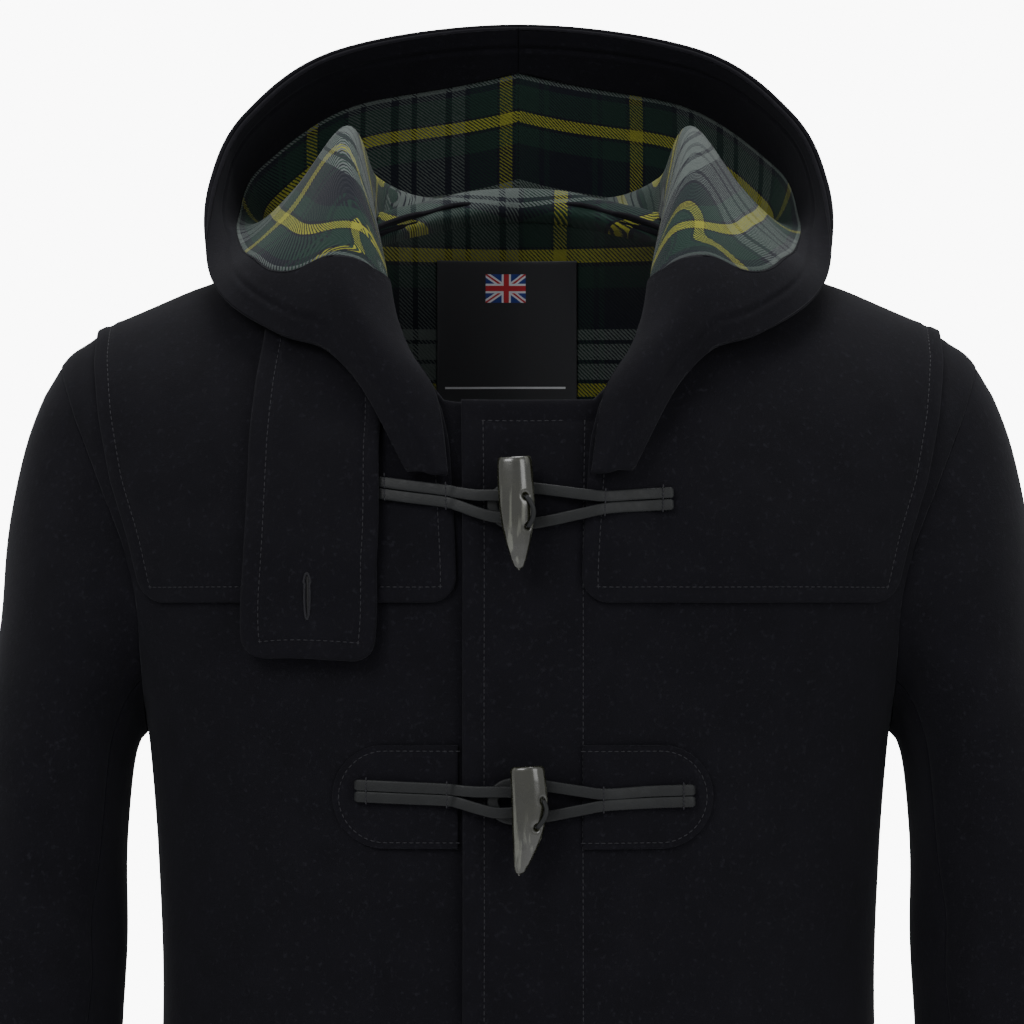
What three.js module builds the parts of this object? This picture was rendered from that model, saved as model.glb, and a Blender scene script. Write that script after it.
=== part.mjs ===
// A hooded duffle coat as worn, hollow, hood down. Millimetres, +X the wearer's left, -Y the front, +Z up.
// The origin lies between the two points where the neck meets the shoulders.
import * as THREE from "three";

// Driving sizes of the coat
const HEM_Z = -930;
const ARMPIT_Z = -262;
const RIDGE_DEPTH = 200; // height over which the chest rounds out from the shoulder line
const FRONT_DEPTH = 134;
const BACK_DEPTH = 138;
const HEM_EXTRA_DEPTH = 26;
const SQUARENESS = 2.5; // exponent of the body's cross-section
const CLOTH = 2.5; // heavy double-faced wool
const LINING = 1.3;
const SEAM_PULL = 0.25; // each piece stops this far short of a seam line
const LAYER_GAP = 0.5;

// Front edges and overlap
const LAP_X = -29; // free edge of the wearer's left front
const UNDERLAP_X = 22; // hidden edge of the wearer's right front
const LAP_LIFT = CLOTH + 2.5;
const LAP_RAMP = { from: 42, to: 76 };
const THROAT_Z = -89;
const NECK_X = 76;

// Shoulder yoke
const YOKE_BOTTOM_FRONT = -193;
const YOKE_BOTTOM_BACK = -203;
const YOKE_CORNER = 12;
const BACK_EASE = 0.5; // the yoke lies a little looser over the back

// Closures, from the top toggle downwards; the first lies on the yoke, the others on patches
const CLOSURES = [
  { topX: -2, tipX: 0, bow: 0, middle: -141, toggleTop: -120, left: -80, right: 79 },
  { topX: 4, tipX: 0, bow: 3, middle: -294, toggleTop: -278, left: -84, right: 90 },
  { topX: 3, tipX: -1, bow: 2, middle: -447, toggleTop: -431, left: -84, right: 90 },
  { topX: 3, tipX: 0, bow: 3, middle: -600, toggleTop: -584, left: -84, right: 90 },
];
const TOGGLE_LENGTH = 56;
const CORD_HALF_WIDTH = 2.7;
const CORD_HALF_THICK = 1.3;
const CORD_OFF_MIDDLE = 3; // distance of a cord's middle from the strap's middle
const PATCH = { half: 27, left: -96, right: 100, innerLeft: -31.5, innerRight: 33, thick: 2 };

// Throat tab, pockets, inside back and label
const TAB_EDGES = [
  { z: -56, left: -131, right: -70 },
  { z: -80, left: -135, right: -69.5 },
  { z: -108, left: -138, right: -69.5 },
  { z: -122, left: -138.5, right: -70 },
  { z: -141, left: -139, right: -70 },
  { z: -160, left: -140, right: -71 },
  { z: -176, left: -141, right: -72 },
  { z: -196, left: -142, right: -72 },
  { z: -212, left: -141, right: -72 },
  { z: -220, left: -137, right: -74 },
];
const TAB = { lift: 7.2, strapLift: 9.8, thick: 4, strapTop: -108, strapBottom: -176, strapEnd: -108, ramp: 12 };
const POCKET = { inner: 62, outer: 174, top: -645, bottom: -850, near: 0.8, far: 3.4 };
const INSIDE_BACK = { columns: 5, fromRow: 2 }; // the part of each back panel that the lining covers
const LABEL = { left: -46, right: 33, top: -7, bottom: -100, thick: 1 };

const V = (x, y, z) => new THREE.Vector3(x, y, z);
const clamp01 = (t) => Math.min(1, Math.max(0, t));
const lerp = (a, b, t) => a + (b - a) * t;
const smooth = (t) => {
  const c = clamp01(t);
  return c * c * (3 - 2 * c);
};

// Value of a table of [station, value] rows, smooth between the stations
function along(rows, at) {
  if (at <= rows[0][0]) return rows[0][1];
  const last = rows[rows.length - 1];
  if (at >= last[0]) return last[1];
  const k = rows.findIndex((row) => row[0] > at);
  const t = (at - rows[k - 1][0]) / (rows[k][0] - rows[k - 1][0]);
  const p = [Math.max(k - 2, 0), k - 1, k, Math.min(k + 1, rows.length - 1)].map((i) => rows[i][1]);
  const cubic =
    2 * p[1] +
    (p[2] - p[0]) * t +
    (2 * p[0] - 5 * p[1] + 4 * p[2] - p[3]) * t * t +
    (3 * p[1] - p[0] - 3 * p[2] + p[3]) * t * t * t;
  return cubic / 2;
}

// Half width of the body at a height: [height, half width]
const HALF_WIDTH = [
  [-930, 226], [-760, 211], [-600, 199], [-480, 191], [-400, 188], [-320, 191], [-262, 196],
  [-240, 204], [-192, 224], [-161, 235], [-129, 245], [-76, 262], [60, 275],
];
// Height of the shoulder line at a distance from the middle: [distance, height]
const RIDGE = [
  [0, 50], [30, 38], [55, 18], [76, 2], [110, -11], [172, -32], [225, -54], [243, -69], [275, -110],
];

const ridge = (x) => along(RIDGE, Math.abs(x));
const halfWidth = (z) => along(HALF_WIDTH, z);

// Depth of the body form in front of (side -1) or behind (side +1) the shoulder plane
function formY(x, z, side) {
  const depth = (side < 0 ? FRONT_DEPTH : BACK_DEPTH) + HEM_EXTRA_DEPTH * clamp01((-z - 400) / 530);
  const across = clamp01(Math.abs(x) / halfWidth(z));
  const round = Math.pow(Math.max(0, 1 - Math.pow(across, SQUARENESS)), 1 / SQUARENESS);
  const down = clamp01((ridge(x) - z) / RIDGE_DEPTH);
  return side * depth * round * Math.sqrt(1 - (1 - down) * (1 - down));
}
const formPoint = (x, z, side) => V(x, formY(x, z, side), z);

// Outward normal of the form
function formNormal(x, z, side) {
  const step = 1.5;
  const dx = formPoint(x + step, z, side).sub(formPoint(x - step, z, side));
  const dz = formPoint(x, z + step, side).sub(formPoint(x, z - step, side));
  const n = dx.cross(dz).normalize();
  return n.y * side < 0 ? n.negate() : n;
}
const onForm = (x, z, side, lift) => formPoint(x, z, side).addScaledVector(formNormal(x, z, side), lift);

// How far the lapping front stands over the one beneath
const lapLift = (x) => LAP_LIFT * smooth((LAP_RAMP.to - x) / (LAP_RAMP.to - LAP_RAMP.from));

// Armhole from the armpit up to the shoulder point, same for front and back: [share, distance, height]
const ARMHOLE = [
  [0, 196, ARMPIT_Z], [0.12, 196.6, -251], [0.3, 198, -226], [0.46, 200, -192],
  [0.6, 208, -161], [0.74, 221, -129], [0.88, 234, -97], [1, 243, -70],
];
const ARM_SHARES = [0, 0.1, 0.2, 0.3, 0.4, 0.5, 0.64, 0.76, 0.86, 0.93, 0.98, 1];
const ARM_ROWS = ARM_SHARES.length - 1;
const armholeX = (t) => along(ARMHOLE.map((row) => [row[0], row[1]]), t);
const armholeZ = (t) => along(ARMHOLE.map((row) => [row[0], row[2]]), t);
function armholePoint(k, side) {
  const t = ARM_SHARES[k];
  const x = armholeX(t);
  const z = armholeZ(t);
  const y = k === 0 || k === ARM_ROWS ? 0 : formY(x, z, side);
  return V(x, y, z);
}

// A closed mesh from vertices and faces, turned the right way out
function closedMesh(vertices, faces) {
  let volume = 0;
  for (const [a, b, c] of faces) {
    volume += vertices[a].dot(vertices[b].clone().cross(vertices[c]));
  }
  const index = volume > 0 ? faces.flat() : faces.flatMap(([a, b, c]) => [a, c, b]);
  const geometry = new THREE.BufferGeometry();
  const places = vertices.flatMap((v) => v.toArray());
  geometry.setAttribute("position", new THREE.Float32BufferAttribute(places, 3));
  geometry.setIndex(index);
  return geometry;
}

// Normals of a grid of points
function gridNormals(grid, outwards) {
  const last = grid.length - 1;
  const end = grid[0].length - 1;
  return grid.map((row, i) =>
    row.map((p, j) => {
      const du = grid[Math.min(i + 1, last)][j].clone().sub(grid[Math.max(i - 1, 0)][j]);
      const dv = row[Math.min(j + 1, end)].clone().sub(row[Math.max(j - 1, 0)]);
      return du.cross(dv).normalize().multiplyScalar(outwards);
    }),
  );
}

// Moves the edge points of a grid a little into the piece, which leaves the gap at a seam
function pulledIn(grid) {
  const last = grid.length - 1;
  const end = grid[0].length - 1;
  const towards = (p, q) => p.clone().add(q.clone().sub(p).setLength(SEAM_PULL));
  const moved = grid.map((row) => row.map((p) => p.clone()));
  for (let j = 0; j <= end; j++) {
    moved[0][j] = towards(grid[0][j], grid[1][j]);
    moved[last][j] = towards(grid[last][j], grid[last - 1][j]);
  }
  for (let i = 0; i <= last; i++) {
    moved[i][0] = towards(moved[i][0], moved[i][1]);
    moved[i][end] = towards(moved[i][end], moved[i][end - 1]);
  }
  return moved;
}

// A cloth wall through a grid of points, from one offset to another along the normals
function wall(grid, normals, near, far) {
  const rows = grid.length;
  const cols = grid[0].length;
  const at = (value, i, j) => (typeof value === "function" ? value(i, j) : value);
  const seam = pulledIn(grid);
  const vertices = [];
  for (const layer of [far, near]) {
    for (let i = 0; i < rows; i++) {
      for (let j = 0; j < cols; j++) {
        vertices.push(seam[i][j].clone().addScaledVector(normals[i][j], at(layer, i, j)));
      }
    }
  }
  const id = (i, j, layer) => layer * rows * cols + i * cols + j;
  const faces = [];
  const quad = (a, b, c, d) => faces.push([a, b, c], [a, c, d]);
  for (let i = 0; i + 1 < rows; i++) {
    for (let j = 0; j + 1 < cols; j++) {
      const [a, b, c, d] = [[i, j], [i + 1, j], [i + 1, j + 1], [i, j + 1]];
      const length = ([m, n], [o, p]) => grid[m][n].distanceTo(grid[o][p]);
      // both faces of the wall, and walls laid on each other, split a cell along its shorter diagonal
      const turned = length(b, d) < length(a, c) ? [b, c, d, a] : [a, b, c, d];
      quad(...turned.map(([m, n]) => id(m, n, 0)));
      quad(...[turned[0], turned[3], turned[2], turned[1]].map(([m, n]) => id(m, n, 1)));
    }
  }
  const rim = [];
  for (let j = 0; j + 1 < cols; j++) rim.push([0, j]);
  for (let i = 0; i + 1 < rows; i++) rim.push([i, cols - 1]);
  for (let j = cols - 1; j > 0; j--) rim.push([rows - 1, j]);
  for (let i = rows - 1; i > 0; i--) rim.push([i, 0]);
  rim.forEach(([i, j], k) => {
    const [m, n] = rim[(k + 1) % rim.length];
    const onwards = m > i || n > j;
    if (onwards) quad(id(i, j, 0), id(m, n, 0), id(m, n, 1), id(i, j, 1));
    else quad(id(m, n, 0), id(m, n, 1), id(i, j, 1), id(i, j, 0));
  });
  return closedMesh(vertices, faces);
}

// A rod of oval sections along a path; each station holds its centre, two half-axis vectors
function rod(stations, sides) {
  const vertices = [];
  for (const s of stations) {
    for (let k = 0; k < sides; k++) {
      const a = ((k + 0.5) / sides) * Math.PI * 2;
      vertices.push(s.centre.clone().addScaledVector(s.u, Math.cos(a)).addScaledVector(s.v, Math.sin(a)));
    }
  }
  const faces = [];
  for (let i = 0; i + 1 < stations.length; i++) {
    for (let k = 0; k < sides; k++) {
      const a = i * sides + k;
      const b = i * sides + ((k + 1) % sides);
      faces.push([a, b, b + sides], [a, b + sides, a + sides]);
    }
  }
  const tail = (stations.length - 1) * sides;
  for (let k = 1; k + 1 < sides; k++) {
    faces.push([0, k + 1, k], [tail, tail + k, tail + k + 1]);
  }
  return closedMesh(vertices, faces);
}

const MELTON = new THREE.MeshStandardMaterial({ color: 0x12131c, roughness: 0.95 });
const TARTAN = new THREE.MeshStandardMaterial({ color: 0x1d4a3c, roughness: 0.9 });
const STRAP_LEATHER = new THREE.MeshStandardMaterial({ color: 0x2c3033, roughness: 0.6 });
const HORN = new THREE.MeshStandardMaterial({ color: 0x33342c, roughness: 0.35 });
const WOVEN = new THREE.MeshStandardMaterial({ color: 0x1b1c20, roughness: 0.8 });

const coat = new THREE.Group();
function add(name, geometry, material) {
  const mesh = new THREE.Mesh(geometry, material.clone());
  mesh.name = name;
  coat.add(mesh);
}
const mirrored = (grid) => grid.map((row) => row.map((p) => V(-p.x, p.y, p.z)));

// Rows of a body panel, hem to shoulder: the outer edge follows the side seam, then the armhole
const SIDE_ROWS = [HEM_Z, -800, -670, -540, -430, -345, -298];

// Distance of the yoke's outer edge from the middle, by share of the armhole
const YOKE_OUTER = [[0, 194], [0.4, 196.5], [0.5, 199], [0.76, 209], [1, 221]];

// Widths of the columns in the band, below the throat and along the neckline
const BAND_LOW = 31;
const BAND_NECK = 1.5;

// A panel's grid; edge(z, share) gives the inner edge below the armpit by height, above it by share.
// First columns (band) stay narrow along the neckline, the last but one follows the yoke's edge.
function bodyGrid(edge, side, columns, band) {
  const grid = [];
  const rowsBelow = SIDE_ROWS.length;
  for (let r = 0; r <= rowsBelow + ARM_ROWS; r++) {
    const above = r - rowsBelow;
    const share = above < 0 ? 0 : ARM_SHARES[above];
    const outer = above < 0 ? V(halfWidth(SIDE_ROWS[r]), 0, SIDE_ROWS[r]) : armholePoint(above, side);
    const inner = above < 0 ? edge(SIDE_ROWS[r]) : edge(null, share);
    const wide = outer.x - inner[0];
    const yokeEdge = above < 0 ? 1 - 2 / wide : (along(YOKE_OUTER, share) - inner[0]) / wide;
    const start = (band * (share < 0.45 || side > 0 ? BAND_LOW : BAND_NECK)) / wide;
    const row = [];
    for (let c = 0; c < columns; c++) {
      const w = (c - band) / (columns - 1 - band);
      const s = c <= band ? (start * c) / Math.max(band, 1) : lerp(start, yokeEdge, 1 - Math.pow(1 - w, 1.3));
      const x = lerp(inner[0], outer.x, s);
      const z = above === ARM_ROWS ? ridge(x) : lerp(inner[1], outer.z, s);
      row.push(V(x, above === ARM_ROWS ? 0 : formY(x, z, side), z));
    }
    row.push(outer);
    grid.push(row);
  }
  return grid;
}

// Inner edges: the front opening and neckline, and the middle of the back: [share, distance, height]
const NECKLINE = [
  [0.5, 38, THROAT_Z], [0.64, 54, -68], [0.76, 66, -42], [0.86, 72, -20], [0.93, 75, -7], [1, NECK_X, 2],
];
const BACK_NECK = [
  [0.64, 0, 20], [0.76, 20, 19], [0.86, 44, 14], [0.93, 62, 8], [0.98, 73, 4], [1, NECK_X + 3, 1],
];
const tableX = (rows, t) => along(rows.map((row) => [row[0], row[1]]), t);
const tableZ = (rows, t) => along(rows.map((row) => [row[0], row[2]]), t);
function frontEdge(frontX) {
  return (z, t) => {
    if (z !== null) return [frontX, z];
    if (t < 0.5) return [frontX, lerp(ARMPIT_Z, THROAT_Z, t / 0.4)];
    return [tableX(NECKLINE, t), tableZ(NECKLINE, t)];
  };
}
function backEdge(z, t) {
  if (z !== null) return [0, z];
  if (t < 0.64) return [0, lerp(ARMPIT_Z, 20, t / 0.64)];
  return [tableX(BACK_NECK, t), tableZ(BACK_NECK, t)];
}

// Normals come from the form, flattened at the side and shoulder seams so that both panels meet there
function formNormals(grid, side) {
  return grid.map((row, i) =>
    row.map((p) => {
      const n = formNormal(p.x, p.z - (i === grid.length - 1 ? 4 : 0), side);
      return Math.abs(p.y) < 1 ? V(n.x, 0, n.z).normalize() : n;
    }),
  );
}

const FRONT_COLUMNS = 11;
const BACK_COLUMNS = 9;
const FRONT_BAND = 2;
const frontLeft = bodyGrid(frontEdge(LAP_X), -1, FRONT_COLUMNS, FRONT_BAND);
const frontRight = mirrored(bodyGrid(frontEdge(-UNDERLAP_X), -1, FRONT_COLUMNS, FRONT_BAND));
const backLeft = bodyGrid(backEdge, 1, BACK_COLUMNS, 0);
const backRight = mirrored(backLeft);
const PANELS = {
  left: { grid: frontLeft, normals: formNormals(frontLeft, -1), lift: (x) => lapLift(x) + CLOTH },
  right: { grid: frontRight, normals: formNormals(frontRight, -1), lift: () => CLOTH },
  backLeft: { grid: backLeft, normals: formNormals(backLeft, 1), lift: () => CLOTH },
  backRight: { grid: backRight, normals: formNormals(backRight, 1), lift: () => CLOTH },
};
const lapAt = (i, j) => lapLift(frontLeft[i][j].x);
add("front_left", wall(frontLeft, PANELS.left.normals, lapAt, (i, j) => lapAt(i, j) + CLOTH), MELTON);
add("front_right", wall(frontRight, PANELS.right.normals, 0, CLOTH), MELTON);
add("back_left", wall(backLeft, PANELS.backLeft.normals, 0, CLOTH), MELTON);
add("back_right", wall(backRight, PANELS.backRight.normals, 0, CLOTH), MELTON);

// The point of a panel's facets at a distance and height, with its normal
function onPanel(panel, x, z) {
  const { grid, normals } = panel;
  let best = null;
  for (let i = 0; i + 1 < grid.length; i++) {
    for (let j = 0; j + 1 < grid[0].length; j++) {
      const cell = [[i, j], [i + 1, j], [i + 1, j + 1], [i, j + 1]];
      for (const corners of [[cell[0], cell[1], cell[2]], [cell[0], cell[2], cell[3]]]) {
        const [a, b, c] = corners.map(([m, n]) => grid[m][n]);
        const area = (b.x - a.x) * (c.z - a.z) - (c.x - a.x) * (b.z - a.z);
        if (Math.abs(area) < 1e-9) continue;
        const wb = ((x - a.x) * (c.z - a.z) - (c.x - a.x) * (z - a.z)) / area;
        const wc = ((b.x - a.x) * (z - a.z) - (x - a.x) * (b.z - a.z)) / area;
        const weights = [1 - wb - wc, wb, wc];
        const least = Math.min(...weights);
        if (!best || least > best.least) best = { least, corners, weights };
      }
    }
  }
  const point = V(0, 0, 0);
  const normal = V(0, 0, 0);
  let top = 0;
  best.corners.forEach(([m, n], k) => {
    point.addScaledVector(grid[m][n], best.weights[k]);
    normal.addScaledVector(normals[m][n], best.weights[k]);
    top += best.weights[k] * panel.lift(grid[m][n].x);
  });
  return { point, normal: normal.normalize(), top };
}

// A piece laid on a panel: rows of [distance, height], and its height over the panel's face
const LAID_GAP = 0.7; // clearance of a laid piece over the facets of its panel
function laidOn(panel, rows, thick, over = () => LAID_GAP) {
  const found = rows.map((row) => row.map(([x, z]) => onPanel(panel, x, z)));
  const grid = found.map((row) => row.map((f) => f.point));
  const normals = found.map((row) => row.map((f) => f.normal));
  const height = (i, j) => found[i][j].top + over(grid[i][j].x, grid[i][j].z);
  return wall(grid, normals, height, (i, j) => height(i, j) + thick);
}

// Shoulder yoke: two halves, from the front lower edge over the shoulder to the back lower edge.
// Its columns are the panel's own between the inner edge and the armhole, cut off at the lower edge.
const YOKE_ROW = 3; // least height between two rows where the lower edge cuts them
function yokeSide(panel, first, bottom, corner) {
  const last = panel.grid[0].length - 2;
  const firstRow = SIDE_ROWS.length + 1;
  const rows = [];
  for (let r = firstRow; r < panel.grid.length; r++) {
    const step = r - firstRow;
    const row = [];
    for (let c = first; c <= last; c++) {
      const p = panel.grid[r][c];
      const rounded = step === 0 && (c === last || (c === first && corner)) ? YOKE_CORNER / 2 : 0;
      const low = bottom + rounded + YOKE_ROW * step;
      const own = { point: p.clone(), normal: panel.normals[r][c].clone(), top: panel.lift(p.x) };
      row.push(p.z > low ? own : onPanel(panel, p.x, low));
    }
    rows.push(row);
  }
  return rows;
}
function yokeHalf(frontPanel, backPanel) {
  const front = yokeSide(frontPanel, FRONT_BAND, YOKE_BOTTOM_FRONT, true);
  const rear = yokeSide(backPanel, 0, YOKE_BOTTOM_BACK, false);
  const rows = [...front, ...rear.reverse().slice(1)];
  const grid = rows.map((row) => row.map((f) => f.point));
  const normals = rows.map((row) => row.map((f) => f.normal));
  const lift = (i, j) => LAYER_GAP + (grid[i][j].y < 0 ? rows[i][j].top : CLOTH + BACK_EASE);
  return wall(grid, normals, lift, (i, j) => lift(i, j) + CLOTH);
}
add("yoke_left", yokeHalf(PANELS.left, PANELS.backLeft), MELTON);
add("yoke_right", yokeHalf(PANELS.right, PANELS.backRight), MELTON);

// Sleeves: rings from the armhole to the cuff, by their outermost and innermost points
const SLEEVE = [
  { outX: 255, outZ: -85, inX: 202, inZ: -267, depth: 76, midY: 0, oval: 0.12 },
  { outX: 264, outZ: -110, inX: 205, inZ: -275, depth: 76, midY: -2, oval: 0.4 },
  { outX: 272, outZ: -150, inX: 207, inZ: -288, depth: 75, midY: -4, oval: 0.8 },
  { outX: 280, outZ: -205, inX: 208, inZ: -308, depth: 74, midY: -8, oval: 1 },
  { outX: 291, outZ: -265, inX: 209, inZ: -335, depth: 72, midY: -12, oval: 1 },
  { outX: 302, outZ: -340, inX: 210, inZ: -380, depth: 70, midY: -18, oval: 1 },
  { outX: 312, outZ: -420, inX: 212, inZ: -438, depth: 68, midY: -24, oval: 1 },
  { outX: 322, outZ: -505, inX: 217, inZ: -508, depth: 66, midY: -33, oval: 1 },
  { outX: 333, outZ: -595, inX: 227, inZ: -595, depth: 62, midY: -45, oval: 1 },
  { outX: 343, outZ: -692, inX: 241, inZ: -692, depth: 58, midY: -60, oval: 1 },
];
const ARMHOLE_GAP = 0.4;
const SEAM_ROW = 3; // armhole row at which the upper and the under sleeve meet
const shareOf = (k) => (k <= ARM_ROWS ? ARM_SHARES[k] : ARM_SHARES[2 * ARM_ROWS - k]);
function sleeveRings() {
  const front = ARM_SHARES.map((_, k) => armholePoint(k, -1));
  const rear = ARM_SHARES.map((_, k) => armholePoint(k, 1)).reverse().slice(1);
  const hole = [...front, ...rear];
  const normals = hole.map((p, k) => {
    const n = formNormal(p.x, p.z - (k === ARM_ROWS ? 3 : 0), k <= ARM_ROWS ? -1 : 1);
    return Math.abs(p.y) < 1 ? V(n.x, 0, n.z).normalize() : n;
  });
  const top = hole[ARM_ROWS];
  const low = hole[0];
  const middle = top.clone().add(low).multiplyScalar(0.5);
  const half = top.clone().sub(low).multiplyScalar(0.5);
  const places = hole.map((p) => {
    const c = p.clone().sub(middle).dot(half) / half.lengthSq();
    const aside = p.clone().sub(middle).addScaledVector(half, -c).setY(0);
    return { c, y: p.y, aside };
  });
  const rings = [hole.map((p, k) => p.clone().addScaledVector(normals[k], CLOTH))];
  for (const s of SLEEVE) {
    const out = V(s.outX, s.midY, s.outZ);
    const inn = V(s.inX, s.midY, s.inZ);
    const centre = out.clone().add(inn).multiplyScalar(0.5);
    const reach = out.clone().sub(inn).multiplyScalar(0.5);
    rings.push(
      places.map((place, k) => {
        const side = k <= ARM_ROWS ? -1 : 1;
        const turn = Math.acos(Math.max(-1, Math.min(1, place.c)));
        const even = Math.PI * (1 - shareOf(k));
        const angle = lerp(turn, even, s.oval);
        const c = lerp(place.c, Math.cos(angle), s.oval);
        const y = lerp(place.y, side * s.depth * Math.sin(angle), s.oval);
        const spot = centre.clone().addScaledVector(reach, c).add(V(0, y, 0));
        return spot.addScaledVector(place.aside, 1 - s.oval);
      }),
    );
  }
  rings[0].forEach((p, k) => p.add(rings[1][k].clone().sub(p).setLength(ARMHOLE_GAP)));
  return { rings, holeNormals: normals };
}
const { rings: SLEEVE_RINGS, holeNormals: HOLE_NORMALS } = sleeveRings();
function sleevePiece(pick, mirror) {
  const count = SLEEVE_RINGS[0].length - 1;
  const ring = (k) => ((k % count) + count) % count;
  const all = SLEEVE_RINGS.map((points, i) =>
    points.map((p, k) => {
      const before = SLEEVE_RINGS[i][ring(k - 1)];
      const after = SLEEVE_RINGS[i][ring(k + 1)];
      const up = SLEEVE_RINGS[Math.max(i - 1, 0)][ring(k)];
      const down = SLEEVE_RINGS[Math.min(i + 1, SLEEVE_RINGS.length - 1)][ring(k)];
      const n = after.clone().sub(before).cross(down.clone().sub(up)).normalize();
      return n;
    }),
  );
  const grid = SLEEVE_RINGS.map((points) => pick.map((k) => points[ring(k)].clone()));
  const normals = all.map((row) => pick.map((k) => row[ring(k)].clone()));
  const centreOf = (row) => row.reduce((sum, p) => sum.add(p), V(0, 0, 0)).multiplyScalar(1 / row.length);
  normals.forEach((row, i) => {
    const centre = centreOf(SLEEVE_RINGS[i].slice(0, count));
    row.forEach((n, j) => {
      if (n.dot(grid[i][j].clone().sub(centre)) < 0) n.negate();
    });
  });
  // at the armhole the sleeve's edge stands square to the body, and turns under at the armpit
  normals[0] = pick.map((k, j) => {
    const share = shareOf(ring(k));
    const w = smooth(share / 0.45);
    const square = HOLE_NORMALS[ring(k)].clone().multiplyScalar(w);
    return square.addScaledVector(normals[1][j], 1 - w).normalize();
  });
  if (mirror < 0) {
    for (const rows of [grid, normals]) rows.forEach((row) => row.forEach((p) => p.setX(-p.x)));
  }
  return wall(grid, normals, -CLOTH, 0);
}
const upperPick = [];
for (let k = SEAM_ROW; k <= 2 * ARM_ROWS - SEAM_ROW; k++) upperPick.push(k);
const underPick = [];
for (let k = -SEAM_ROW; k <= SEAM_ROW; k++) underPick.push(k);
for (const [side, mirror] of [["left", 1], ["right", -1]]) {
  add("sleeve_" + side + "_upper", sleevePiece(upperPick, mirror), MELTON);
  add("sleeve_" + side + "_under", sleevePiece(underPick, mirror), MELTON);
}

// Hood, worn down: profiles from the neck seam to the free edge, front tip to the middle of the back.
// A place of three numbers is distance, depth and height; a lifted one is distance, height and lift over the front.
const lifted = (x, z, lift) => ({ x, z, lift });
const placed = (x, y, z) => ({ x, y, z });
const HOOD_PROFILES = [
  [lifted(36, -128, 9), lifted(40, -128, 11), lifted(44, -128, 12), lifted(48, -127, 12.5), lifted(52, -127, 12),
    lifted(55, -127, 11)],
  [lifted(41, -90, 9), lifted(47, -88, 15), lifted(54, -87, 20), lifted(61, -87, 22), lifted(68, -88, 19),
    lifted(74, -89, 15)],
  [lifted(56, -66, 9), lifted(61, -60, 18), lifted(69, -55, 28), lifted(79, -57, 31), lifted(88, -63, 26),
    lifted(95, -70, 17)],
  [lifted(67, -38, 8), placed(72, -84, -16), placed(83, -88, -2), placed(99, -92, -8), placed(113, -96, -30),
    placed(125, -94, -53)],
  [lifted(74, -14, 8), placed(79, -48, 18), placed(90, -46, 36), placed(109, -52, 16), placed(134, -64, -12),
    placed(155, -66, -34)],
  [placed(79, 6, 10), placed(81, 7, 38), placed(93, 8, 60), placed(117, -6, 28), placed(145, -20, -4),
    placed(167, -20, -8)],
  [placed(72, 36, 14), placed(77, 46, 34), placed(99, 60, 36), placed(128, 66, 12), placed(153, 48, 12),
    placed(165, 16, 32)],
  [placed(50, 62, 20), placed(57, 84, 24), placed(84, 116, 0), placed(118, 128, -8), placed(142, 98, 40),
    placed(147, 46, 70)],
  [placed(26, 75, 26), placed(29, 106, 16), placed(45, 156, -54), placed(70, 170, -40), placed(88, 132, 56),
    placed(98, 77, 106)],
  [placed(0, 79, 28), placed(0, 114, 12), placed(0, 160, -76), placed(0, 178, -60), placed(0, 150, 40),
    placed(0, 95, 121)],
];
const HOOD_U = 18;
const HOOD_V = 10;
const FACING_FROM = 8; // profile step at which the lining meets the facing
function hoodGrid(lap) {
  const spot = (p) => (p.lift === undefined ? V(p.x, p.y, p.z) : onForm(p.x, p.z, -1, p.lift + lap(p.x)));
  const stations = HOOD_PROFILES.map((profile) => profile.map(spot));
  const spread = (list, at) => {
    const rows = (axis) => list.map((p, i) => [i, p.getComponent(axis)]);
    return V(along(rows(0), at), along(rows(1), at), along(rows(2), at));
  };
  const grid = [];
  for (let i = 0; i <= HOOD_U; i++) {
    const at = (i / HOOD_U) * (stations.length - 1);
    const profile = stations[0].map((_, k) => spread(stations.map((s) => s[k]), at));
    const row = [];
    for (let j = 0; j <= HOOD_V; j++) row.push(spread(profile, (j / HOOD_V) * (profile.length - 1)));
    grid.push(row);
  }
  return grid;
}
// Normals point to the hood's outside, and stand upright at the middle seam so that both halves meet
function hoodNormals(grid) {
  const normals = gridNormals(grid, 1);
  normals[normals.length - 1].forEach((n) => n.setX(0).normalize());
  return normals;
}
function hoodHalf(lap, mirror) {
  const grid = hoodGrid(lap);
  const normals = hoodNormals(grid);
  return mirror > 0 ? { grid, normals } : { grid: mirrored(grid), normals: mirrored(normals) };
}
const HOOD = { left: hoodHalf(lapLift, 1), right: hoodHalf(() => 0, -1) };
for (const side of ["left", "right"]) {
  const { grid, normals } = HOOD[side];
  const band = (from, to) => [grid, normals].map((rows) => rows.map((row) => row.slice(from, to + 1)));
  add("hood_" + side, wall(grid, normals, 0, CLOTH), MELTON);
  const [liningGrid, liningNormals] = band(0, FACING_FROM);
  add("hood_lining_" + side, wall(liningGrid, liningNormals, -LINING - LAYER_GAP, -LAYER_GAP), TARTAN);
  const [facingGrid, facingNormals] = band(FACING_FROM, HOOD_V);
  add("hood_facing_" + side, wall(facingGrid, facingNormals, -2 - LAYER_GAP, -LAYER_GAP), MELTON);
}

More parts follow.
